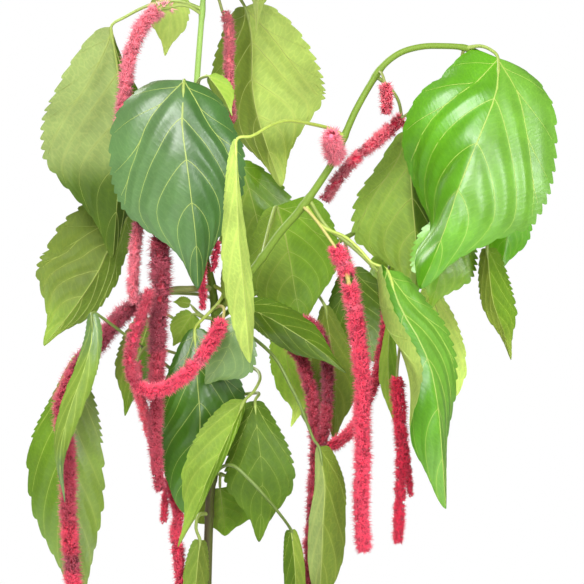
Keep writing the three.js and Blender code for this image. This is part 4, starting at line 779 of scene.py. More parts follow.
def tube(line, radii, sides, steps):
    """A closed round tube along a line: its points, its faces and each point's share of the line's length.
    radii gives the radius at each share."""
    shares = np.linspace(0, 1, steps + 1)
    middles = line.at(shares)
    tangents = line.tangent(shares)
    normals = np.zeros_like(tangents)
    start = np.cross(tangents[0], SIDE_HINT)
    for step in range(steps + 1):
        start = start - tangents[step] * np.dot(start, tangents[step])
        start = start / np.linalg.norm(start)
        normals[step] = start
    others = np.cross(tangents, normals)
    turns = np.arange(sides) / sides * TURN
    radius = np.broadcast_to(np.asarray(radii(shares)), (steps + 1,))[:, None, None]
    around = normals[:, None] * np.cos(turns)[None, :, None] + others[:, None] * np.sin(turns)[None, :, None]
    points = (middles[:, None] + around * radius).reshape(-1, 3)
    faces = ring_faces(steps + 1, sides)
    faces.append(tuple(range(sides))[::-1])
    faces.append(tuple(range(steps * sides, (steps + 1) * sides)))
    return points, faces, np.repeat(shares, sides)


def end_taper(shares, line, reach, loss):
    """Thins a line's last millimetres by the given share."""
    return 1 - loss * smooth(shares, 1 - reach * MM / line.length, 1)


WOODS = (MAIN_STEM, RIGHT_BRANCH, BACK_BRANCH)
wood_lines = [Line(spot(wood["path"])) for wood in WOODS]
wood_points = np.vstack([line.points for line in wood_lines])


def seated(places):
    """The points of a stalk, its first one moved onto the nearest line of wood."""
    points = spot(places)
    points[0] = wood_points[np.argmin(np.linalg.norm(wood_points - points[0], axis=1))]
    return points


def of_half(value, left):
    """A leaf's value for each place, where the value may be a pair for the left and the right half."""
    return np.where(left, value[0], value[1]) if isinstance(value, list) else value


def outline(leaf, along, across):
    """Half-width of a blade as a share of its widest, with a rounded or pointed base and a drawn-out tip."""
    left = np.asarray(across) >= 0
    power = math.log(0.5) / np.log(of_half(leaf.get("widest", WIDEST_AT), left))
    base = of_half(leaf.get("base", ROUND_BASE), left)
    fullness = between(base, ROUND_BASE, smooth(along, *BASE_SPAN))
    oval = np.maximum(np.sin(math.pi * np.clip(along, 0, 1) ** power), 0) ** fullness
    return oval * (1 - of_half(leaf.get("draw", TIP_DRAW), left) * smooth(along, *TIP_SPAN))


def blade_points(leaf, along, across):
    """Points of a blade's middle surface: along is 0 at the base and 1 at the tip, across is 1 at the left
    edge and -1 at the right one."""
    rib = leaf["line"]
    along = np.asarray(along, float)
    across = np.asarray(across, float)
    left = across >= 0
    widest, base_fold, tip_fold, curl, end_fold, end_curl = (
        np.where(left, leaf["left"][item], leaf["right"][item]) for item in range(6))
    share = np.abs(across)
    width = widest * outline(leaf, along, across) * MM
    fold_on_way = between(base_fold, tip_fold, smooth(along, *FOLD_SPAN))
    fold = np.radians(between(fold_on_way, end_fold, smooth(along, *END_FOLD_SPAN)))
    turn = np.radians(between(curl, end_curl, smooth(along, *CURL_SPAN)))
    bend = np.where(np.abs(turn) < LEAST_BEND, LEAST_BEND, turn)
    out = width * (np.sin(fold + bend * share) - np.sin(fold)) / bend
    rise = width * (np.cos(fold) - np.cos(fold + bend * share)) / bend
    on_rib = np.clip(along, 0, 1)
    tangent = rib.tangent(on_rib)
    front = np.array([0.0, -1.0, 0.0])
    facing = unit(front - tangent * (tangent @ front)[:, None])
    to_left = np.cross(tangent, facing)
    height, waves, phase = leaf["wave"]
    swing = np.sin(TURN * (waves * along + phase + np.where(left, 0, RIGHT_WAVE_SHIFT)))
    wave = height * MM * share ** WAVE_POWER * swing * np.minimum(1, WAVE_FADE * on_rib * (1 - on_rib))
    lobe = of_half(leaf.get("lobe", LOBE), left) * (on_rib / LOBE_SPAN) * np.exp(1 - on_rib / LOBE_SPAN)
    lead = VEIN_LEAD * 4 * on_rib * (1 - on_rib)
    points = rib.at(on_rib) + to_left * (np.sign(across) * out)[:, None]
    points += facing * (rise + wave)[:, None]
    points += tangent * (rib.length * share * (lead - lobe))[:, None]
    return points


def blade_normals(leaf, along, across):
    """Unit normals of the middle surface, on the viewer's side of a flat leaf."""
    along = np.clip(along, *NORMAL_SPAN)
    across = np.asarray(across, float)
    nudge = NORMAL_NUDGE
    lengthwise = blade_points(leaf, along + nudge, across) - blade_points(leaf, along - nudge, across)
    crosswise = blade_points(leaf, along, across + nudge) - blade_points(leaf, along, across - nudge)
    return unit(np.cross(crosswise, lengthwise))


def vein_end(leaf, start):
    """Where the side vein that leaves the rib at start meets the edge."""
    return 1 - (1 - leaf["basal_end"]) * (1 - start) ** VEIN_CROWDING


def vein_paths(leaf):
    """The veins of a blade as [along, across, widths] rows, with the rib first."""
    run = np.linspace(0, 1, leaf["vein_steps"] + 1)
    scale = leaf["vein_scale"]
    rib_width = scale * MIDRIB_WIDTH * (1 - MIDRIB_TAPER * run ** MIDRIB_TAPER_POWER)
    paths = [(run * RIB_REACH, run * 0, rib_width)]
    for side in (1, -1):
        for order in range(VEINS):
            start = order / VEINS
            share = run * VEIN_REACH
            along = between(start, vein_end(leaf, start), share ** VEIN_ARCH)
            width = BASAL_VEIN_WIDTH if order == 0 else SIDE_VEIN_WIDTH * (1 - SIDE_VEIN_LOSS * start)
            paths.append((along, side * share, scale * width * (1 - SIDE_VEIN_TAPER * run)))
        for foot_share, end in OUTER_BRANCHES:
            foot = leaf["basal_end"] * foot_share ** VEIN_ARCH
            share = between(foot_share, VEIN_REACH, run)
            along = between(foot, end * leaf["basal_end"], run ** BRANCH_ARCH)
            paths.append((along, side * share, scale * BRANCH_WIDTH * (1 - BRANCH_TAPER * run)))
    return paths


def rib_share(leaf, row):
    """Where a row of a blade's net leaves the rib. The rows of the fan all leave it at the base."""
    return max(0.0, (row - leaf["fan_rows"]) / (leaf["rows"] - leaf["fan_rows"]))


def blade_grid(leaf, teeth):
    """Rows of [along, across] for one half: lines that follow the veins, from the base to the tip, their ends
    toothed by the given share."""
    fan_rows = leaf["fan_rows"]
    shares = np.linspace(0, 1, leaf["columns"] + 1)[1:]
    grid = []
    for row in range(1, leaf["rows"]):
        start = rib_share(leaf, row)
        if row > fan_rows:
            end = vein_end(leaf, start)
            step = vein_end(leaf, min(1, rib_share(leaf, row + 1))) - end
        else:
            end = leaf["basal_end"] * row / fan_rows
            step = leaf["basal_end"] / fan_rows
        along = between(start, end, shares ** VEIN_ARCH)
        across = shares.copy()
        tooth = TOOTH_SHAPE[row % len(TOOTH_SHAPE)]
        across[-1] += leaf["tooth"] * tooth * (1 - start) ** TOOTH_FADE * teeth
        along[-1] = min(LAST_TOOTH, along[-1] + TOOTH_LEAN * tooth * step)
        grid.append((along, across))
    return grid


def blade_net(leaf):
    """A blade's net: how far along and across its corners lie, its faces, and the corners round its edge."""
    rows, fan_rows, columns = leaf["rows"], leaf["fan_rows"], leaf["columns"]
    along = [0.0, *(rib_share(leaf, row) for row in range(fan_rows + 1, rows)), 1.0]
    across = [0.0] * len(along)
    tip = len(along) - 1
    rib_corners = [0] * (fan_rows + 1) + list(range(1, tip + 1))
    index = {}
    for side, teeth in zip((1, -1), leaf.get("teeth", (1.0, 1.0))):
        for row, (row_along, row_across) in enumerate(blade_grid(leaf, teeth), start=1):
            for column in range(columns):
                index[side, row, column + 1] = len(along)
                along.append(row_along[column])
                across.append(side * row_across[column])

    def corner(side, row, column):
        return rib_corners[row] if row in (0, rows) or column == 0 else index[side, row, column]

    faces = []
    for side in (1, -1):
        for row in range(rows):
            for column in range(columns):
                around = [corner(side, row, column), corner(side, row, column + 1),
                          corner(side, row + 1, column + 1), corner(side, row + 1, column)]
                unique = [item for place, item in enumerate(around) if item != around[place - 1]]
                if len(set(unique)) > 2:
                    faces.append(tuple(unique if side < 0 else unique[::-1]))
    rim = [0, *(corner(1, row, columns) for row in range(1, rows)), tip]
    rim += [corner(-1, row, columns) for row in range(rows - 1, 0, -1)]
    return np.array(along), np.array(across), faces, rim


def vein_distance(leaf, places, paths):
    """How far each place lies from the nearest of the rib, the basal veins and the side veins."""
    nearest = np.full(len(places), FAR)
    for order, path in enumerate(paths):
        if order in leaf["outer_branches"]:
            continue
        coarse = np.linspace(0, 1, len(path[0]))
        fine = np.linspace(0, 1, VEIN_SAMPLING * len(path[0]))
        along, across = (np.interp(fine, coarse, row) for row in path[:2])
        points = blade_points(leaf, along, across)
        nearest = np.minimum(nearest, np.linalg.norm(places[:, None] - points[None], axis=2).min(axis=1))
    return nearest


def quilted(leaf, along, across, paths):
    """A blade's middle surface as it bulges up between its veins, less at its edge and its ends and where it
    is folded steeply; its normals on the upper side; and how far each point lies from a vein."""
    middle = blade_points(leaf, along, across)
    upper = blade_normals(leaf, along, across) * leaf["upper_way"]
    distance = vein_distance(leaf, middle, paths)
    bulge = 1 - np.exp(-(distance / (QUILT_SPREAD * MM)) ** 2)
    folded = np.where(across >= 0, abs(leaf["left"][1]), abs(leaf["right"][1])) > STEEP_FOLD
    lift = leaf["quilt"] * MM * bulge * np.where(folded, FOLDED_QUILT, 1)
    lift = lift * (1 - QUILT_EDGE_LOSS * smooth(np.minimum(np.abs(across), 1), *QUILT_EDGE_SPAN))
    lift = lift * np.minimum(1, QUILT_FADE * along * (1 - along))
    return middle + upper * lift[:, None], upper, distance


def blade_tints(leaf, looks, along, across):
    """A blade's tint at each place: its two halves, its tip and its bands, each passing into the next."""
    # The leaf's light factor is partly painted light: higher for leaves that the lamps leave in shade
    light = LEAF_LIGHT * looks[4]
    left_tint, right_tint, tip_tint = (linear(tone, light) for tone in looks[1:4])
    tint = mixed(right_tint, left_tint, smooth(across, *HALVES_BLEND))
    tint = mixed(tint, tip_tint, smooth(along, *TIP_BLEND))
    for band_from, band_to, tone in leaf.get("bands", ()):
        tint = mixed(tint, linear(tone, light), in_band(along, band_from, band_to, LEAF_BAND_EDGE))
    return tint


def blade_ladder(leaf, along, across, distance):
    """Places across the ladder of fine veins: along its rungs, along its strips, and away from the veins."""
    length = leaf["line"].length
    widest = np.where(across >= 0, leaf["left"][0], leaf["right"][0])
    sideways = np.abs(across) * outline(leaf, along, across) * widest
    rungs = LADDER_SLANT[0] * sideways + LADDER_SLANT[1] * along * length / MM
    strips = (along - STRIP_SLANT * np.abs(across) ** VEIN_ARCH) * length / MM
    return np.stack([rungs / NET_CELL[0], strips / NET_CELL[1], distance / MM], axis=1)


# Places of a leaf's materials
UPPER_SLOT, UNDER_SLOT, VEIN_SLOT, STALK_SLOT = range(4)


def blade(build, leaf, looks):
    """Adds a leaf's blade: two quilted faces with a toothed edge, closed all round, and its raised veins."""
    along, across, faces, rim = blade_net(leaf)
    paths = vein_paths(leaf)
    middle, upper, distance = quilted(leaf, along, across, paths)
    thinning = 1 - EDGE_THINNING * smooth(np.minimum(np.abs(across), 1), *EDGE_SPAN)
    half = upper * leaf["upper_way"] * (HALF_THICKNESS * MM * thinning)[:, None]
    count = len(middle)
    back_faces = [tuple(item + count for item in flipped(face)) for face in faces]
    rim_faces = [(item, after, after + count, item + count) for item, after in zip(rim, rim[1:] + rim[:1])]
    front_slot, back_slot = UPPER_SLOT, UNDER_SLOT
    far_tone = "far_under"
    if leaf["upper_way"] < 0:
        front_slot, back_slot = UNDER_SLOT, UPPER_SLOT
        far_tone = "mid"
    face_slots = [front_slot] * len(faces) + [back_slot] * len(faces) + [front_slot] * len(rim_faces)
    tint = blade_tints(leaf, looks, along, across)
    far_side = mixed(tint, linear(far_tone, LEAF_LIGHT * looks[4]), np.full(count, FAR_SIDE_SHARE))
    nets = blade_ladder(leaf, along, across, distance)
    build.add(np.vstack([middle + half, middle - half]), faces + back_faces + rim_faces, face_slots,
              np.vstack([tint, far_side]), np.vstack([nets, nets]))
    for path in paths:
        vein(build, leaf, path, paths)


def vein(build, leaf, path, paths):
    """Adds one raised vein: a low ridge on the upper face and a higher one on the under face."""
    along, across, widths = path
    middle, upper = quilted(leaf, along, across, paths)[:2]
    side = unit(np.cross(upper, unit(np.gradient(middle, axis=0))))
    width = (widths * MM)[:, None]
    scale = leaf["vein_scale"] * np.clip(width / (MIDRIB_WIDTH * MM), LEAST_RIDGE, 1)
    above = HALF_THICKNESS * MM + VEIN_ABOVE * MM * scale
    below = HALF_THICKNESS * MM + VEIN_BELOW * MM * scale
    ring = [
        middle - side * width / 2,
        middle - side * width / 4 + upper * above,
        middle + side * width / 4 + upper * above,
        middle + side * width / 2,
        middle - upper * below,
    ]
    points = np.stack(ring, axis=1).reshape(-1, 3)
    faces = [flipped(face) for face in ring_faces(len(middle), len(ring))]
    faces.append(tuple(range(len(ring))))
    faces.append(tuple(range(len(points) - len(ring), len(points)))[::-1])
    tint = between(leaf["vein_tint"], linear("vein", LEAF_LIGHT), VEIN_TONE_SHARE)
    build.add(points, faces, VEIN_SLOT, tint)


def stalk(build, points, leaf, tone, thickness=1.0):
    """Adds a leaf stalk from its first point to the blade, running on into the blade's rib."""
    line = Line(np.vstack([points, leaf["line"].at(np.array([0.0, STALK_INTO_BLADE]))]))

    def radii(shares):
        along = shares * line.length / MM
        rest = (1 - shares) * line.length / MM
        swell = 1 + STALK_FOOT_SWELL * np.exp(-along / SWELL_REACH)
        swell = swell + STALK_KNEE_SWELL * np.exp(-((rest - STALK_KNEE) / SWELL_REACH) ** 2)
        radius = STALK_RADIUS * MM * thickness * STALK_FULLNESS * between(*STALK_TAPER, shares) * swell
        return radius * end_taper(shares, line, STALK_END, STALK_END_TAPER)

    tube_points, faces, shares = tube(line, radii, STALK_SIDES, line.steps(STALK_STEP, LEAST_STALK_STEPS))
    tints = mixed(linear(tone, LEAF_LIGHT), linear(tone, STALK_END_LIGHT * LEAF_LIGHT), shares)
    build.add(tube_points, faces, STALK_SLOT, tints)


def prepared(leaf, looks):
    """A leaf with its own line, fineness and sizes, worked out from its places."""
    line = Line(spot(leaf["rib"]))
    length = line.length / MM
    widest = max(leaf["left"][0], leaf["right"][0])
    fineness = next(rows for least, rows in FINENESS if length > least)
    scale = min(1.0, max(LEAST_SCALE, widest / FULL_SIZE_HALF_WIDTH))
    veins_of_half = VEINS + len(OUTER_BRANCHES)
    outer_branches = {1 + side * veins_of_half + VEINS + branch
                      for side in (0, 1) for branch in range(len(OUTER_BRANCHES))}
    return dict(
        leaf, line=line, outer_branches=outer_branches,
        upper_way=1.0 if looks[0] == "upper" else -1.0,
        rows=(FAN_VEINS + VEINS) * fineness, fan_rows=FAN_VEINS * fineness,
        columns=fineness + EXTRA_COLUMNS, vein_steps=fineness + EXTRA_VEIN_STEPS,
        basal_end=BASAL_VEIN_END * min(1, max(LEAST_BASAL_SHARE, widest / length / SLIM_LEAF)),
        quilt=QUILT_HEIGHT * scale, vein_scale=scale,
        tooth=TOOTH_REACH * min(1, widest / FULL_TOOTH_HALF_WIDTH) / widest,
        vein_tint=0.5 * LEAF_LIGHT * (linear(looks[1]) + linear(looks[2])),
        left=whole_half(leaf["left"]), right=whole_half(leaf["right"]))


def whole_half(half):
    """A half's values, with the fold and the curl at the very tip filled in where they aren't given."""
    widest, base_fold, tip_fold, curl, *ends = half
    end_fold = ends[0] if ends else tip_fold
    end_curl = ends[1] if len(ends) > 1 else curl
    return [widest, base_fold, tip_fold, curl, end_fold, end_curl]


def leaf_piece(leaf, materials):
    """A leaf, from the foot of its stalk in the wood."""
    fine = prepared(leaf, leaf["looks"])
    build = Build()
    blade(build, fine, leaf["looks"])
    stalk(build, seated(leaf["stalk"]), fine, leaf.get("stalk_tone", "stalk"))
    build.piece(leaf["name"], materials)


def sprig_piece(sprig, materials):
    """A shoot with its small leaves."""
    build = Build()
    shoot = seated(sprig["shoot"])
    build.add_tube(Line(shoot), lambda share: SHOOT_RADIUS * MM, SHOOT_SIDES, SHOOT_STEPS, STALK_SLOT,
                   linear("stalk", LEAF_LIGHT))
    for leaf in sprig["leaves"]:
        fine = prepared(leaf, sprig["looks"])
        blade(build, fine, sprig["looks"])
        stalk(build, np.vstack([shoot[-1:], spot(leaf["stalk"])]), fine, "stalk", SMALL_STALK)
    build.piece(sprig["name"], materials)


# Places of a catkin's materials
CORE_SLOT, THREAD_SLOT, AXIS_SLOT = range(3)


def near_ends(shares, line, radius):
    """How close each share is to the line's start and to its tip: 1 there, and 0 beyond the rounding."""
    reach = max(END_REACH, END_REACH_SHARE * radius) * MM / line.length
    return np.clip(1 - shares / reach, 0, 1), np.clip(1 - (1 - shares) / reach, 0, 1)


def threads(build, line, first, last, looks, draw, bands):
    """Adds the tufts of threads round one length of a catkin: short ones that are thin at the foot and wide
    at the end, and among them stars of long ones that end in a point."""
    area = TURN * 0.5 * (first + last) * line.length / MM
    tufts = int(area * TUFTS_PER_AREA * (1))
    shares = draw.random(tufts)
    chance = draw.random(tufts)
    base = np.tile(linear(looks[0]), (tufts, 1))
    full = np.ones(tufts)
    for band_from, band_to, tone, density in bands:
        inside = in_band(shares, band_from, band_to, BAND_EDGE)
        base = mixed(base, linear(tone), inside)
        full *= 1 - (1 - density) * inside
    kept = chance < full
    shares, base, tufts = shares[kept], base[kept], int(kept.sum())
    turns = draw.random(tufts) * TURN
    near_start, near_tip = near_ends(shares, line, first)
    radius = between(first, last, shares) * (1 - TUFT_ROUNDING * np.maximum(near_start, near_tip) ** 2)
    tangent = line.tangent(shares)
    first_side = unit(np.cross(tangent, SIDE_HINT))
    second_side = np.cross(tangent, first_side)
    out = first_side * np.cos(turns)[:, None] + second_side * np.sin(turns)[:, None]
    around = np.cross(tangent, out)
    light = draw.random(tufts)
    long = draw.random(tufts) < LONG_SHARE
    long_rows = long[:, None]
    foot_radius = radius * np.where(long, CORE_SHARE, SHORT_FOOT * CORE_SHARE) * MM
    foot = line.at(shares) + out * foot_radius[:, None]
    # The ends are paler: partly the threads' own tips, partly painted highlight
    pale = mixed(base, linear(looks[1]), np.full(tufts, PALE_SHARE))
    # The feet of the threads, deep among the others, are darkened as painted shade
    inner = mixed(linear(looks[2]), base, ranging(INNER_SHADE_RANGE, light))
    end_lean = np.stack([END_LEAN * (near_tip - near_start), np.zeros(tufts)], axis=1)
    spread = np.where(long_rows, LONG_LEAN, THREAD_LEAN)
    flip = np.where(long_rows, -1.0, 1.0)
    reach = radius * np.where(long, LONG_REACH, THREAD_REACH)
    full_width = np.where(long_rows, LONG_WIDTH, THREAD_WIDTH) * MM * SIDE_TO_RADIUS
    all_points = []
    all_tints = []
    for thread in range(THREADS_PER_TUFT):
        lean = draw.normal(0, 1, (tufts, 2)) * spread + end_lean
        way = unit(out + tangent * lean[:, :1] + around * lean[:, 1:] + np.array([0, 0, THREAD_SAG]))
        length = reach * ranging(LENGTH_RANGE, draw.random(tufts)) * MM
        wide = unit(np.cross(way, tangent + CROSS_NUDGE))
        high = np.cross(way, wide) * flip
        half_width = full_width * ranging(WIDTH_RANGE, draw.random(tufts))[:, None]
        end = foot + way * length[:, None]
        ring = np.where(long_rows, foot, end)
        all_points.append(np.where(long_rows, end, foot))
        for side in range(THREAD_SIDES):
            angle = side * TURN / THREAD_SIDES
            all_points.append(ring + (wide * math.cos(angle) + high * math.sin(angle)) * half_width)
        outer = mixed(base, pale, light) * ranging(OUTER_LIGHT_RANGE, draw.random(tufts))[:, None]
        outer *= ranging(TUFT_LIGHT_RANGE, light)[:, None]
        all_tints.append(np.where(long_rows, pale, inner))
        all_tints.extend([np.where(long_rows, base, outer)] * THREAD_SIDES)
    points = np.stack(all_points, axis=1).reshape(-1, 3)
    tints = np.stack(all_tints, axis=1).reshape(-1, 4)
    tints[:, 3] = 1
    build.add(points, thread_faces(np.repeat(long, THREADS_PER_TUFT)), THREAD_SLOT, tints)


def thread_faces(long):
    """Faces of the threads, each a point and a triangle. The wide end of a short thread is closed."""
    faces = []
    for thread, is_long in enumerate(long):
        point = thread * (THREAD_SIDES + 1)
        one, two, three = point + 1, point + 2, point + 3
        faces.extend([(point, two, one), (point, three, two), (point, one, three)])
        if not is_long:
            faces.append((one, two, three))
    return faces


def tufted(build, places, first, last, looks, draw, bands=()):
    """Adds a tufted length: a knobbly core and its threads."""
    line = Line(spot(places))

    def radii(shares):
        closed = 1 - CORE_ROUNDING * np.maximum(*near_ends(shares, line, first)) ** 2
        return between(first, last, shares) * CORE_SHARE * closed * MM

    points, faces, shares = tube(line, radii, CORE_SIDES, line.steps(CORE_STEP, LEAST_CORE_STEPS))
    bare = np.zeros(len(points))
    for band in bands:
        if band[3] < BARE_DENSITY:
            bare = np.maximum(bare, in_band(shares, *band[:2], BAND_EDGE))
    middles = line.at(shares)
    knobs = ranging(CORE_KNOB_RANGE, draw.random(len(points))) * (1 - BARE_SLIMMING * bare)
    points = middles + (points - middles) * knobs[:, None]
    # The core, hidden among the threads, takes the painted shade of the inside
    tints = mixed(linear(looks[2]), linear(looks[0]), ranging(CORE_SHADE_RANGE, draw.random(len(points))))
    build.add(points, faces, CORE_SLOT, mixed(tints, linear(looks[3], LEAF_LIGHT), bare))
    threads(build, line, first, last, looks, draw, bands)


def catkin_piece(catkin, number, materials):
    """A catkin on its bare axis, with its second length where it has one."""
    looks = catkin["looks"]
    draw = np.random.default_rng(FIRST_CATKIN_SEED + number)
    build = Build()
    axis = Line(np.vstack([seated(catkin["axis"]), spot(catkin["path"][:2])]))
    axis_tint = linear(looks[3], LEAF_LIGHT)

    def radii(shares):
        return catkin.get("thick", AXIS_RADIUS) * MM * (1 + AXIS_SWELL * np.exp(-shares * AXIS_SWELL_FADE))

    build.add_tube(axis, radii, AXIS_SIDES, axis.steps(AXIS_STEP, LEAST_AXIS_STEPS), AXIS_SLOT, axis_tint)
    tufted(build, catkin["path"], *catkin["radius"], looks, draw, catkin.get("bands", ()))
    if "second" in catkin:
        start = Line(spot(catkin["second"][:3]))
        build.add_tube(start, lambda share: AXIS_RADIUS * MM, FORK_SIDES, FORK_STEPS, AXIS_SLOT, axis_tint)
        first = catkin["second_radius"]
        tufted(build, catkin["second"][1:], first, first * SECOND_TAPER, looks, draw)
    build.piece(catkin["name"], materials, crease=0)


def adder(tree):
    """Empties a node tree, and gives the function that adds a node to it with its inputs set or linked."""
    tree.nodes.clear()

    def add(kind, inputs=None, **settings):
        item = tree.nodes.new(kind)
        for key, value in settings.items():
            setattr(item, key, value)
        for key, value in (inputs or {}).items():
            socket = item.inputs[key]
            if isinstance(value, bpy.types.NodeSocket):
                tree.links.new(value, socket)
            else:
                socket.default_value = value
        return item

    return add


def shader(name):
    """A new material and the function that adds its nodes."""
    material = bpy.data.materials.new(name)
    material.use_nodes = True
    return material, adder(material.node_tree)


def vertex_tint(add):
    """The tint that the mesh holds at each point."""
    return add("ShaderNodeVertexColor", layer_name="tint").outputs["Color"]


def place_noise(add, scale, detail=4.0, roughness=0.6):
    """Noise fixed to the object's own place."""
    place = add("ShaderNodeTexCoord")
    noise = add("ShaderNodeTexNoise", {"Vector": place.outputs["Object"], "Scale": scale, "Detail": detail,
                                       "Roughness": roughness})
    return noise.outputs["Fac"]


def mapped(add, value, span, to):
    """A socket's value, carried from one span over to another."""
    item = add("ShaderNodeMapRange", {"Value": value, "From Min": span[0], "From Max": span[1],
                                      "To Min": to[0], "To Max": to[1]})
    return item.outputs["Result"]


def reckoned(add, operation, first, second):
    """The result of one sum of two numbers or sockets."""
    return add("ShaderNodeMath", {0: first, 1: second}, operation=operation).outputs[0]


def blended(add, share, first, second, mode="MIX"):
    """Two colours mixed by a share of the second."""
    item = add("ShaderNodeMix", {MIX_SHARE: share, MIX_FIRST: first, MIX_SECOND: second}, data_type="RGBA",
               blend_type=mode)
    return item.outputs[MIX_RESULT]


def filtered(add, color, through):
    """A colour multiplied by another."""
    return blended(add, 1.0, color, through, "MULTIPLY")


def scaled(add, vector, value):
    """A colour or vector times a number or a socket."""
    return add("ShaderNodeVectorMath", {0: vector, "Scale": value}, operation="SCALE").outputs[0]


def raised(add, height, strength, depth):
    """The normal of a relief, its depth in metres."""
    return add("ShaderNodeBump", {"Height": height, "Strength": strength, "Distance": depth}).outputs[0]


def skinned(add, color, roughness, normal, **more):
    """A surface. The names of further sockets are given with underlines for spaces."""
    inputs = {"Base Color": color, "Roughness": roughness, "Normal": normal}
    inputs.update({key.replace("_", " "): value for key, value in more.items()})
    return add("ShaderNodeBsdfPrincipled", inputs).outputs[0]


def translucent(add, skin, color, share):
    """A surface that lets some of the light through."""
    glow = add("ShaderNodeBsdfTranslucent", {"Color": color})
    return add("ShaderNodeMixShader", {0: share, 1: skin, 2: glow.outputs[0]}).outputs[0]


def finished(add, surface):
    """Ends a material with its surface."""
    add("ShaderNodeOutputMaterial", {"Surface": surface})


def leaf_face(name, net_depth, net_light, band_light, roughness, gloss_level, see_through):
    """One face of a leaf: the tint, broken by soft patches, by pale bands along the veins and by the ladder
    of fine veins between them. The net attribute holds places on the ladder and the distance from a vein."""
    material, add = shader(name)
    net = add("ShaderNodeAttribute", attribute_name="net").outputs["Vector"]
    warp = add("ShaderNodeTexNoise", {"Vector": net, "Scale": 0.8, "Detail": 2.0})
    bent = scaled(add, warp.outputs["Color"], NET_WARP)
    moved = add("ShaderNodeVectorMath", {0: net, 1: bent}, operation="ADD")
    cells = add("ShaderNodeTexVoronoi", {"Vector": moved.outputs[0], "Scale": 1.0, "Randomness": 0.8},
                feature="DISTANCE_TO_EDGE", voronoi_dimensions="2D").outputs["Distance"]
    line = mapped(add, cells, NET_LINE, (1.0, 0.0))
    pillow = mapped(add, cells, NET_PILLOW, (0.0, 1.0))
    from_vein = add("ShaderNodeSeparateXYZ", {"Vector": net}).outputs["Z"]
    band = mapped(add, from_vein, VEIN_BAND, (1.0, 0.0))
    patches = mapped(add, place_noise(add, 20.0), NOISE_SPAN, PATCHES)
    grain = mapped(add, place_noise(add, 600.0, detail=3.0, roughness=0.7), GRAIN_SPAN, FINE_GRAIN)
    color = scaled(add, scaled(add, vertex_tint(add), patches), grain)
    lighter = filtered(add, color, VEIN_FILTER)
    line_share = reckoned(add, "MULTIPLY", line, net_light)
    band_share = reckoned(add, "MULTIPLY", band, band_light)
    color = blended(add, reckoned(add, "MAXIMUM", line_share, band_share), color, lighter)
    grit = reckoned(add, "MULTIPLY", place_noise(add, 360.0), NET_GRIT)
    relief = raised(add, reckoned(add, "ADD", pillow, grit), strength=net_depth, depth=0.0004)
    gloss = mapped(add, place_noise(add, 120.0), NOISE_SPAN, [roughness + change for change in LEAF_GLOSS])
    skin = skinned(add, color, gloss, relief, Specular_IOR_Level=gloss_level)
    finished(add, translucent(add, skin, filtered(add, color, GLOW_FILTER), see_through))
    return material


def plain_tinted(name, roughness, grain_scale, light, see_through=0.0, fuzz=0.0):
    """A surface in its tint, with grain in colour and relief. light is the span of the grain's light."""
    material, add = shader(name)
    noise = place_noise(add, grain_scale, roughness=0.65)
    color = scaled(add, vertex_tint(add), mapped(add, noise, NOISE_SPAN, light))
    rough = mapped(add, noise, NOISE_SPAN, [roughness + change for change in GRAIN_GLOSS])
    relief = raised(add, noise, strength=0.2, depth=0.0002)
    skin = skinned(add, color, rough, relief, Sheen_Weight=fuzz, Sheen_Roughness=0.5, Sheen_Tint=SHEEN_TINT)
    finished(add, translucent(add, skin, color, see_through) if see_through else skin)
    return material


def bark():
    """Bark in its tint, with fine lengthwise streaks and small pale corky specks."""
    material, add = shader("bark")
    place = add("ShaderNodeTexCoord").outputs["Object"]
    long = add("ShaderNodeMapping", {"Vector": place, "Scale": STREAK_SHAPE}).outputs[0]
    streaks = add("ShaderNodeTexNoise", {"Vector": long, "Scale": 900.0, "Detail": 4.0}).outputs["Fac"]
    specks = add("ShaderNodeTexVoronoi", {"Vector": place, "Scale": 260.0}).outputs["Distance"]
    speck = mapped(add, specks, SPECK, (1.0, 0.0))
    color = scaled(add, vertex_tint(add), mapped(add, streaks, NOISE_SPAN, FINE_GRAIN))
    share = reckoned(add, "MULTIPLY", speck, SPECK_SHARE)
    color = blended(add, share, color, filtered(add, color, SPECK_FILTER))
    relief = raised(add, reckoned(add, "ADD", streaks, speck), strength=0.1, depth=0.0003)
    finished(add, skinned(add, color, 0.6, relief, Specular_IOR_Level=0.25))
    return material


def clay():
    """Fired clay: warm, matte, with lime bloom in soft patches and fine grit."""
    material, add = shader("clay")
    bloom = mapped(add, place_noise(add, 14.0, detail=5.0), BLOOM_SPAN, BLOOM)
    color = blended(add, bloom, CLAY_WARM, CLAY_PALE)
    color = scaled(add, color, mapped(add, place_noise(add, 700.0, detail=3.0), NOISE_SPAN, CLAY_GRAIN))
    relief = raised(add, place_noise(add, 1500.0, detail=3.0, roughness=0.7), strength=0.35, depth=0.0004)
    finished(add, skinned(add, color, 0.86, relief))
    return material


def soil():
    """Damp potting soil: dark crumbs with paler fibres."""
    material, add = shader("soil")
    fibre = mapped(add, place_noise(add, 420.0, detail=5.0, roughness=0.75), FIBRE_SPAN, FIBRE)
    relief = raised(add, place_noise(add, 800.0, detail=5.0, roughness=0.75), strength=0.8, depth=0.0012)
    finished(add, skinned(add, scaled(add, vertex_tint(add), fibre), 0.93, relief))
    return material


def stem_tints(points, middles):
    """Tints of the main stem: old wood below, green above it in the leaves' shade, and paler at the top,
    where painted glare lies on it.
    """
    heights = points[:, 2]
    old = 1 - smooth(heights, *OLD_BARK_HEIGHTS)
    right = smooth(points[:, 0] - middles[:, 0], *BARK_SIDES_BLEND)
    woody = mixed(linear("bark_purple"), linear("bark_old"), right)
    tints = mixed(linear("bark_young"), woody, old * OLD_BARK_SHARE)
    shade = 1 - SHADED_LOSS * (1 - smooth(heights, *SHADED_HEIGHTS)) * (1 - old)
    # The top of the stem is painted paler, as glare
    return mixed(tints * shade[:, None], linear("bark_glare"), smooth(heights, *GLARE_BARK_HEIGHTS))


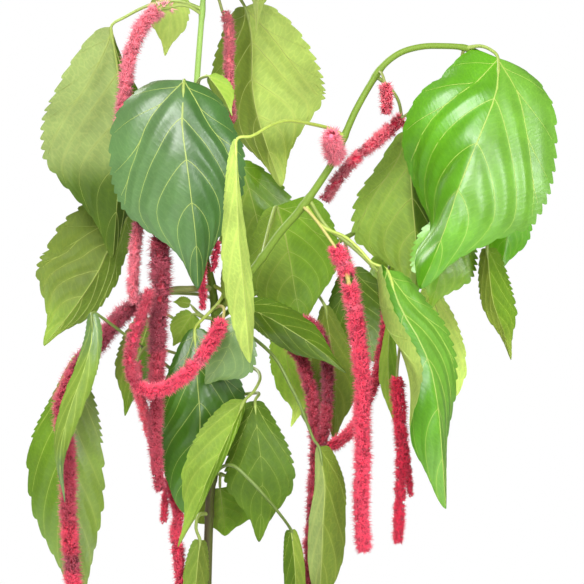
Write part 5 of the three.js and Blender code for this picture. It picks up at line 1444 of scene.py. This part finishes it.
def stem_piece(material):
    """The main stem and its two branches, swollen where stalks leave, green above and woody below."""
    build = Build()
    stalks = [leaf["stalk"] for leaf in LEAVES] + [catkin["axis"] for catkin in CATKINS]
    feet = np.array([seated(places)[0] for places in stalks + [sprig["shoot"] for sprig in SPRIGS]])
    for wood, line in zip(WOODS, wood_lines):
        gaps = np.linalg.norm(line.points[None] - feet[:, None], axis=2)
        knots = line.reach[gaps.argmin(axis=1)][gaps.min(axis=1) < KNOT_GAP * MM] / line.length

        def radii(shares):
            swell = np.zeros_like(shares)
            for knot in knots:
                swell = np.maximum(swell, np.exp(-((shares - knot) * line.length / MM / KNOT_REACH) ** 2))
            radius = between(*wood["radius"], shares) * (WOOD_FULLNESS + KNOT_SWELL * swell)
            return radius * end_taper(shares, line, WOOD_END, WOOD_END_TAPER) * MM

        points, faces, shares = tube(line, radii, WOOD_SIDES, line.steps(WOOD_STEP, 1))
        tints = stem_tints(points, line.at(shares)) if wood is MAIN_STEM else linear("bark_branch")
        build.add(points, faces, 0, tints)
    build.piece("stem", [material])


def lathed(profile, segments, shape=None):
    """Points and faces of a body turned about Z from an outline of [radius, height] points, whose first and
    last lie on the axis. shape moves the places between them."""
    points = [(0, 0, profile[0][1]), (0, 0, profile[-1][1])]
    inner = profile[1:-1]
    for radius, height in inner:
        for segment in range(segments):
            turn = segment / segments * TURN
            place = [radius * math.cos(turn), radius * math.sin(turn), height]
            points.append(shape(place) if shape else place)
    faces = ring_faces(len(inner), segments, 2)
    last = 2 + (len(inner) - 1) * segments
    for segment in range(segments):
        after = (segment + 1) % segments
        faces.append((0, 2 + after, 2 + segment))
        faces.append((1, last + segment, last + after))
    return np.array(points) * MM, faces


def pot_piece(material):
    """The pot, with its drain holes cut through the floor."""
    build = Build()
    points, faces = lathed(POT_PROFILE, POT_SEGMENTS)
    build.add(points, faces, 0, WHITE)
    pot = build.piece("pot", [material], POT_CREASE)
    cutters = []
    for hole in range(DRAIN_HOLES):
        turn = hole / DRAIN_HOLES * TURN + FIRST_DRAIN_TURN
        place = (math.cos(turn) * DRAIN_OFFSET * MM, math.sin(turn) * DRAIN_OFFSET * MM, POT_FLOOR / 2 * MM)
        bpy.ops.mesh.primitive_cylinder_add(vertices=DRAIN_SEGMENTS, radius=DRAIN_RADIUS * MM,
                                            depth=3 * POT_FLOOR * MM, location=place)
        cutter = bpy.context.object
        cut = pot.modifiers.new("hole", "BOOLEAN")
        cut.operation = "DIFFERENCE"
        cut.solver = "EXACT"
        cut.object = cutter
        cutters.append(cutter)
    bpy.context.view_layer.update()
    whole = bpy.data.meshes.new_from_object(pot.evaluated_get(bpy.context.evaluated_depsgraph_get()))
    pot.modifiers.clear()
    pot.data = whole
    for cutter in cutters:
        bpy.data.objects.remove(cutter)


def soil_height(x, y):
    """Height of the soil's face in millimetres, as in the solid."""
    share = min(1, math.hypot(x, y) / SOIL_RADIUS)
    lump = math.sin(x * SOIL_LUMP_RATES[0]) * math.cos(y * SOIL_LUMP_RATES[1])
    return SOIL_TOP + SOIL_MOUND * (1 - share ** 2) + SOIL_LUMP * lump


def soil_piece(material):
    """The soil's body with a lumpy face, and crumbs of bark and peat lying on it."""
    draw = np.random.default_rng(SOIL_SEED)
    profile = [(0, STEM_HOLE_FOOT), (STEM_HOLE_RADIUS, STEM_HOLE_FOOT)]
    profile += [(ring, SOIL_TOP) for ring in (STEM_HOLE_RADIUS, *SOIL_RINGS, SOIL_RADIUS)]
    profile += [(SOIL_RADIUS, RIM_FOOT), (SOIL_FOOT_RADIUS, SOIL_FOOT), (0, SOIL_FOOT)]

    def lumpy(place):
        x, y, height = place
        return [x, y, soil_height(x, y) + draw.normal(0, SOIL_GRAIN)] if height == SOIL_TOP else place

    points, faces = lathed(profile, SOIL_SEGMENTS, lumpy)
    build = Build()
    build.add(points, faces, 0, SOIL_DARK)
    crumb_points, crumb_faces = crumb_shape()
    for number in range(CRUMBS):
        reach = math.sqrt(draw.random()) * (SOIL_RADIUS - CRUMB_BORDER)
        turn = draw.random() * TURN
        if reach < CRUMB_CLEARANCE:
            continue
        x, y = reach * math.cos(turn), reach * math.sin(turn)
        size = draw.uniform(*CRUMB_SIZE) * np.array([draw.uniform(*span) for span in CRUMB_PROPORTIONS])
        spin = draw.random() * TURN
        body = crumb_points * size
        turned_x = body[:, 0] * math.cos(spin) - body[:, 1] * math.sin(spin)
        turned_y = body[:, 0] * math.sin(spin) + body[:, 1] * math.cos(spin)
        place = np.array([x, y, soil_height(x, y) + CRUMB_RISE * size[2]])
        shade = draw.random() ** 2
        build.add((np.stack([turned_x, turned_y, body[:, 2]], axis=1) + place) * MM, crumb_faces, 0,
                  SOIL_DARK * (1 - shade) + SOIL_PALE * shade)
    build.piece("soil", [material], SOIL_CREASE)


def crumb_shape():
    """Points and faces of a 20-sided body of radius 1."""
    golden = (1 + 5 ** 0.5) / 2
    points = []
    for first in (-1, 1):
        for second in (-golden, golden):
            points += [(0, first, second), (first, second, 0), (second, 0, first)]
    points = np.array(points) / math.hypot(1, golden)
    gaps = np.linalg.norm(points[:, None] - points[None], axis=2)
    edge = np.min(gaps[gaps > SAME_CORNER]) * EDGE_SLACK
    faces = []
    for corners in itertools.combinations(range(len(points)), 3):
        if gaps[np.ix_(corners, corners)].max() < edge:
            one, two, three = points[list(corners)]
            outward = np.dot(np.cross(two - one, three - one), one) > 0
            faces.append(corners if outward else flipped(corners))
    return points, faces


def camera():
    """The camera of the front drawing."""
    eye = bpy.data.cameras.new("photo_view")
    eye.sensor_fit = "HORIZONTAL"
    eye.angle = 2 * math.atan(FIELD_WIDTH / 2 / EYE_DISTANCE)
    eye.clip_start = CLIP_NEAR
    eye.clip_end = CLIP_FAR
    item = bpy.data.objects.new("photo_view", eye)
    item.location = (EYE_ACROSS * MM, -EYE_DISTANCE * MM, EYE_HEIGHT * MM)
    item.rotation_euler = (math.pi / 2, 0, 0)
    bpy.context.scene.collection.objects.link(item)
    bpy.context.scene.camera = item


def area_light(name, place, size, power, color):
    """A round lamp that faces the plant."""
    lamp = bpy.data.lights.new(name, "AREA")
    lamp.shape = "DISK"
    lamp.size = size
    lamp.energy = power
    lamp.color = color
    item = bpy.data.objects.new(name, lamp)
    item.location = place
    way = np.array(LIT_PLACE) - np.array(place)
    item.rotation_euler = (
        math.acos(-way[2] / np.linalg.norm(way)), 0, math.atan2(way[1], way[0]) - math.pi / 2)
    bpy.context.scene.collection.objects.link(item)


def studio():
    """White surroundings, a pale floor and soft lights: a large one high at the back left, two in front."""
    world = bpy.data.worlds.new("studio")
    bpy.context.scene.world = world
    world.use_nodes = True
    add = adder(world.node_tree)
    seen = add("ShaderNodeLightPath").outputs["Is Camera Ray"]
    white = add("ShaderNodeBackground", {"Color": WHITE, "Strength": 1.0}).outputs[0]
    fill = add("ShaderNodeBackground", {"Color": WHITE, "Strength": WORLD_FILL}).outputs[0]
    both = add("ShaderNodeMixShader", {0: seen, 1: fill, 2: white}).outputs[0]
    add("ShaderNodeOutputWorld", {"Surface": both})
    for light in LIGHTS:
        area_light(**light)
    bpy.ops.mesh.primitive_circle_add(vertices=FLOOR_SEGMENTS, radius=FLOOR_RADIUS, fill_type="NGON",
                                      location=(0, 0, 0))
    floor = bpy.context.object
    floor.name = "floor"
    material, add = shader("floor")
    tone = mapped(add, place_noise(add, 3.0), NOISE_SPAN, FLOOR_TONE)
    finished(add, add("ShaderNodeBsdfPrincipled", {"Base Color": tone, "Roughness": 0.7}).outputs[0])
    floor.data.materials.append(material)


bpy.context.scene.view_settings.view_transform = "Standard"
camera()
studio()

leaf_materials = [
    leaf_face("leaf_upper", net_depth=0.12, net_light=0.28, band_light=0.5, roughness=0.34,
              gloss_level=0.55, see_through=0.2),
    leaf_face("leaf_under", net_depth=0.25, net_light=0.38, band_light=0.55, roughness=0.6,
              gloss_level=0.3, see_through=0.3),
    plain_tinted("leaf_vein", roughness=0.5, grain_scale=500.0, light=(0.92, 1.08), see_through=0.2),
    plain_tinted("leaf_stalk", roughness=0.45, grain_scale=350.0, light=(0.85, 1.12), see_through=0.12),
]
catkin_materials = [
    plain_tinted("catkin_core", roughness=0.9, grain_scale=900.0, light=(0.6, 1.3)),
    plain_tinted("catkin_thread", roughness=0.75, grain_scale=260.0, light=(0.8, 1.2), see_through=0.3,
                 fuzz=0.3),
    plain_tinted("catkin_axis", roughness=0.6, grain_scale=500.0, light=(0.85, 1.15)),
]
for leaf in LEAVES:
    leaf_piece(leaf, leaf_materials)
for sprig in SPRIGS:
    sprig_piece(sprig, leaf_materials)
for number, catkin in enumerate(CATKINS):
    catkin_piece(catkin, number, catkin_materials)
stem_piece(bark())
pot_piece(clay())
soil_piece(soil())
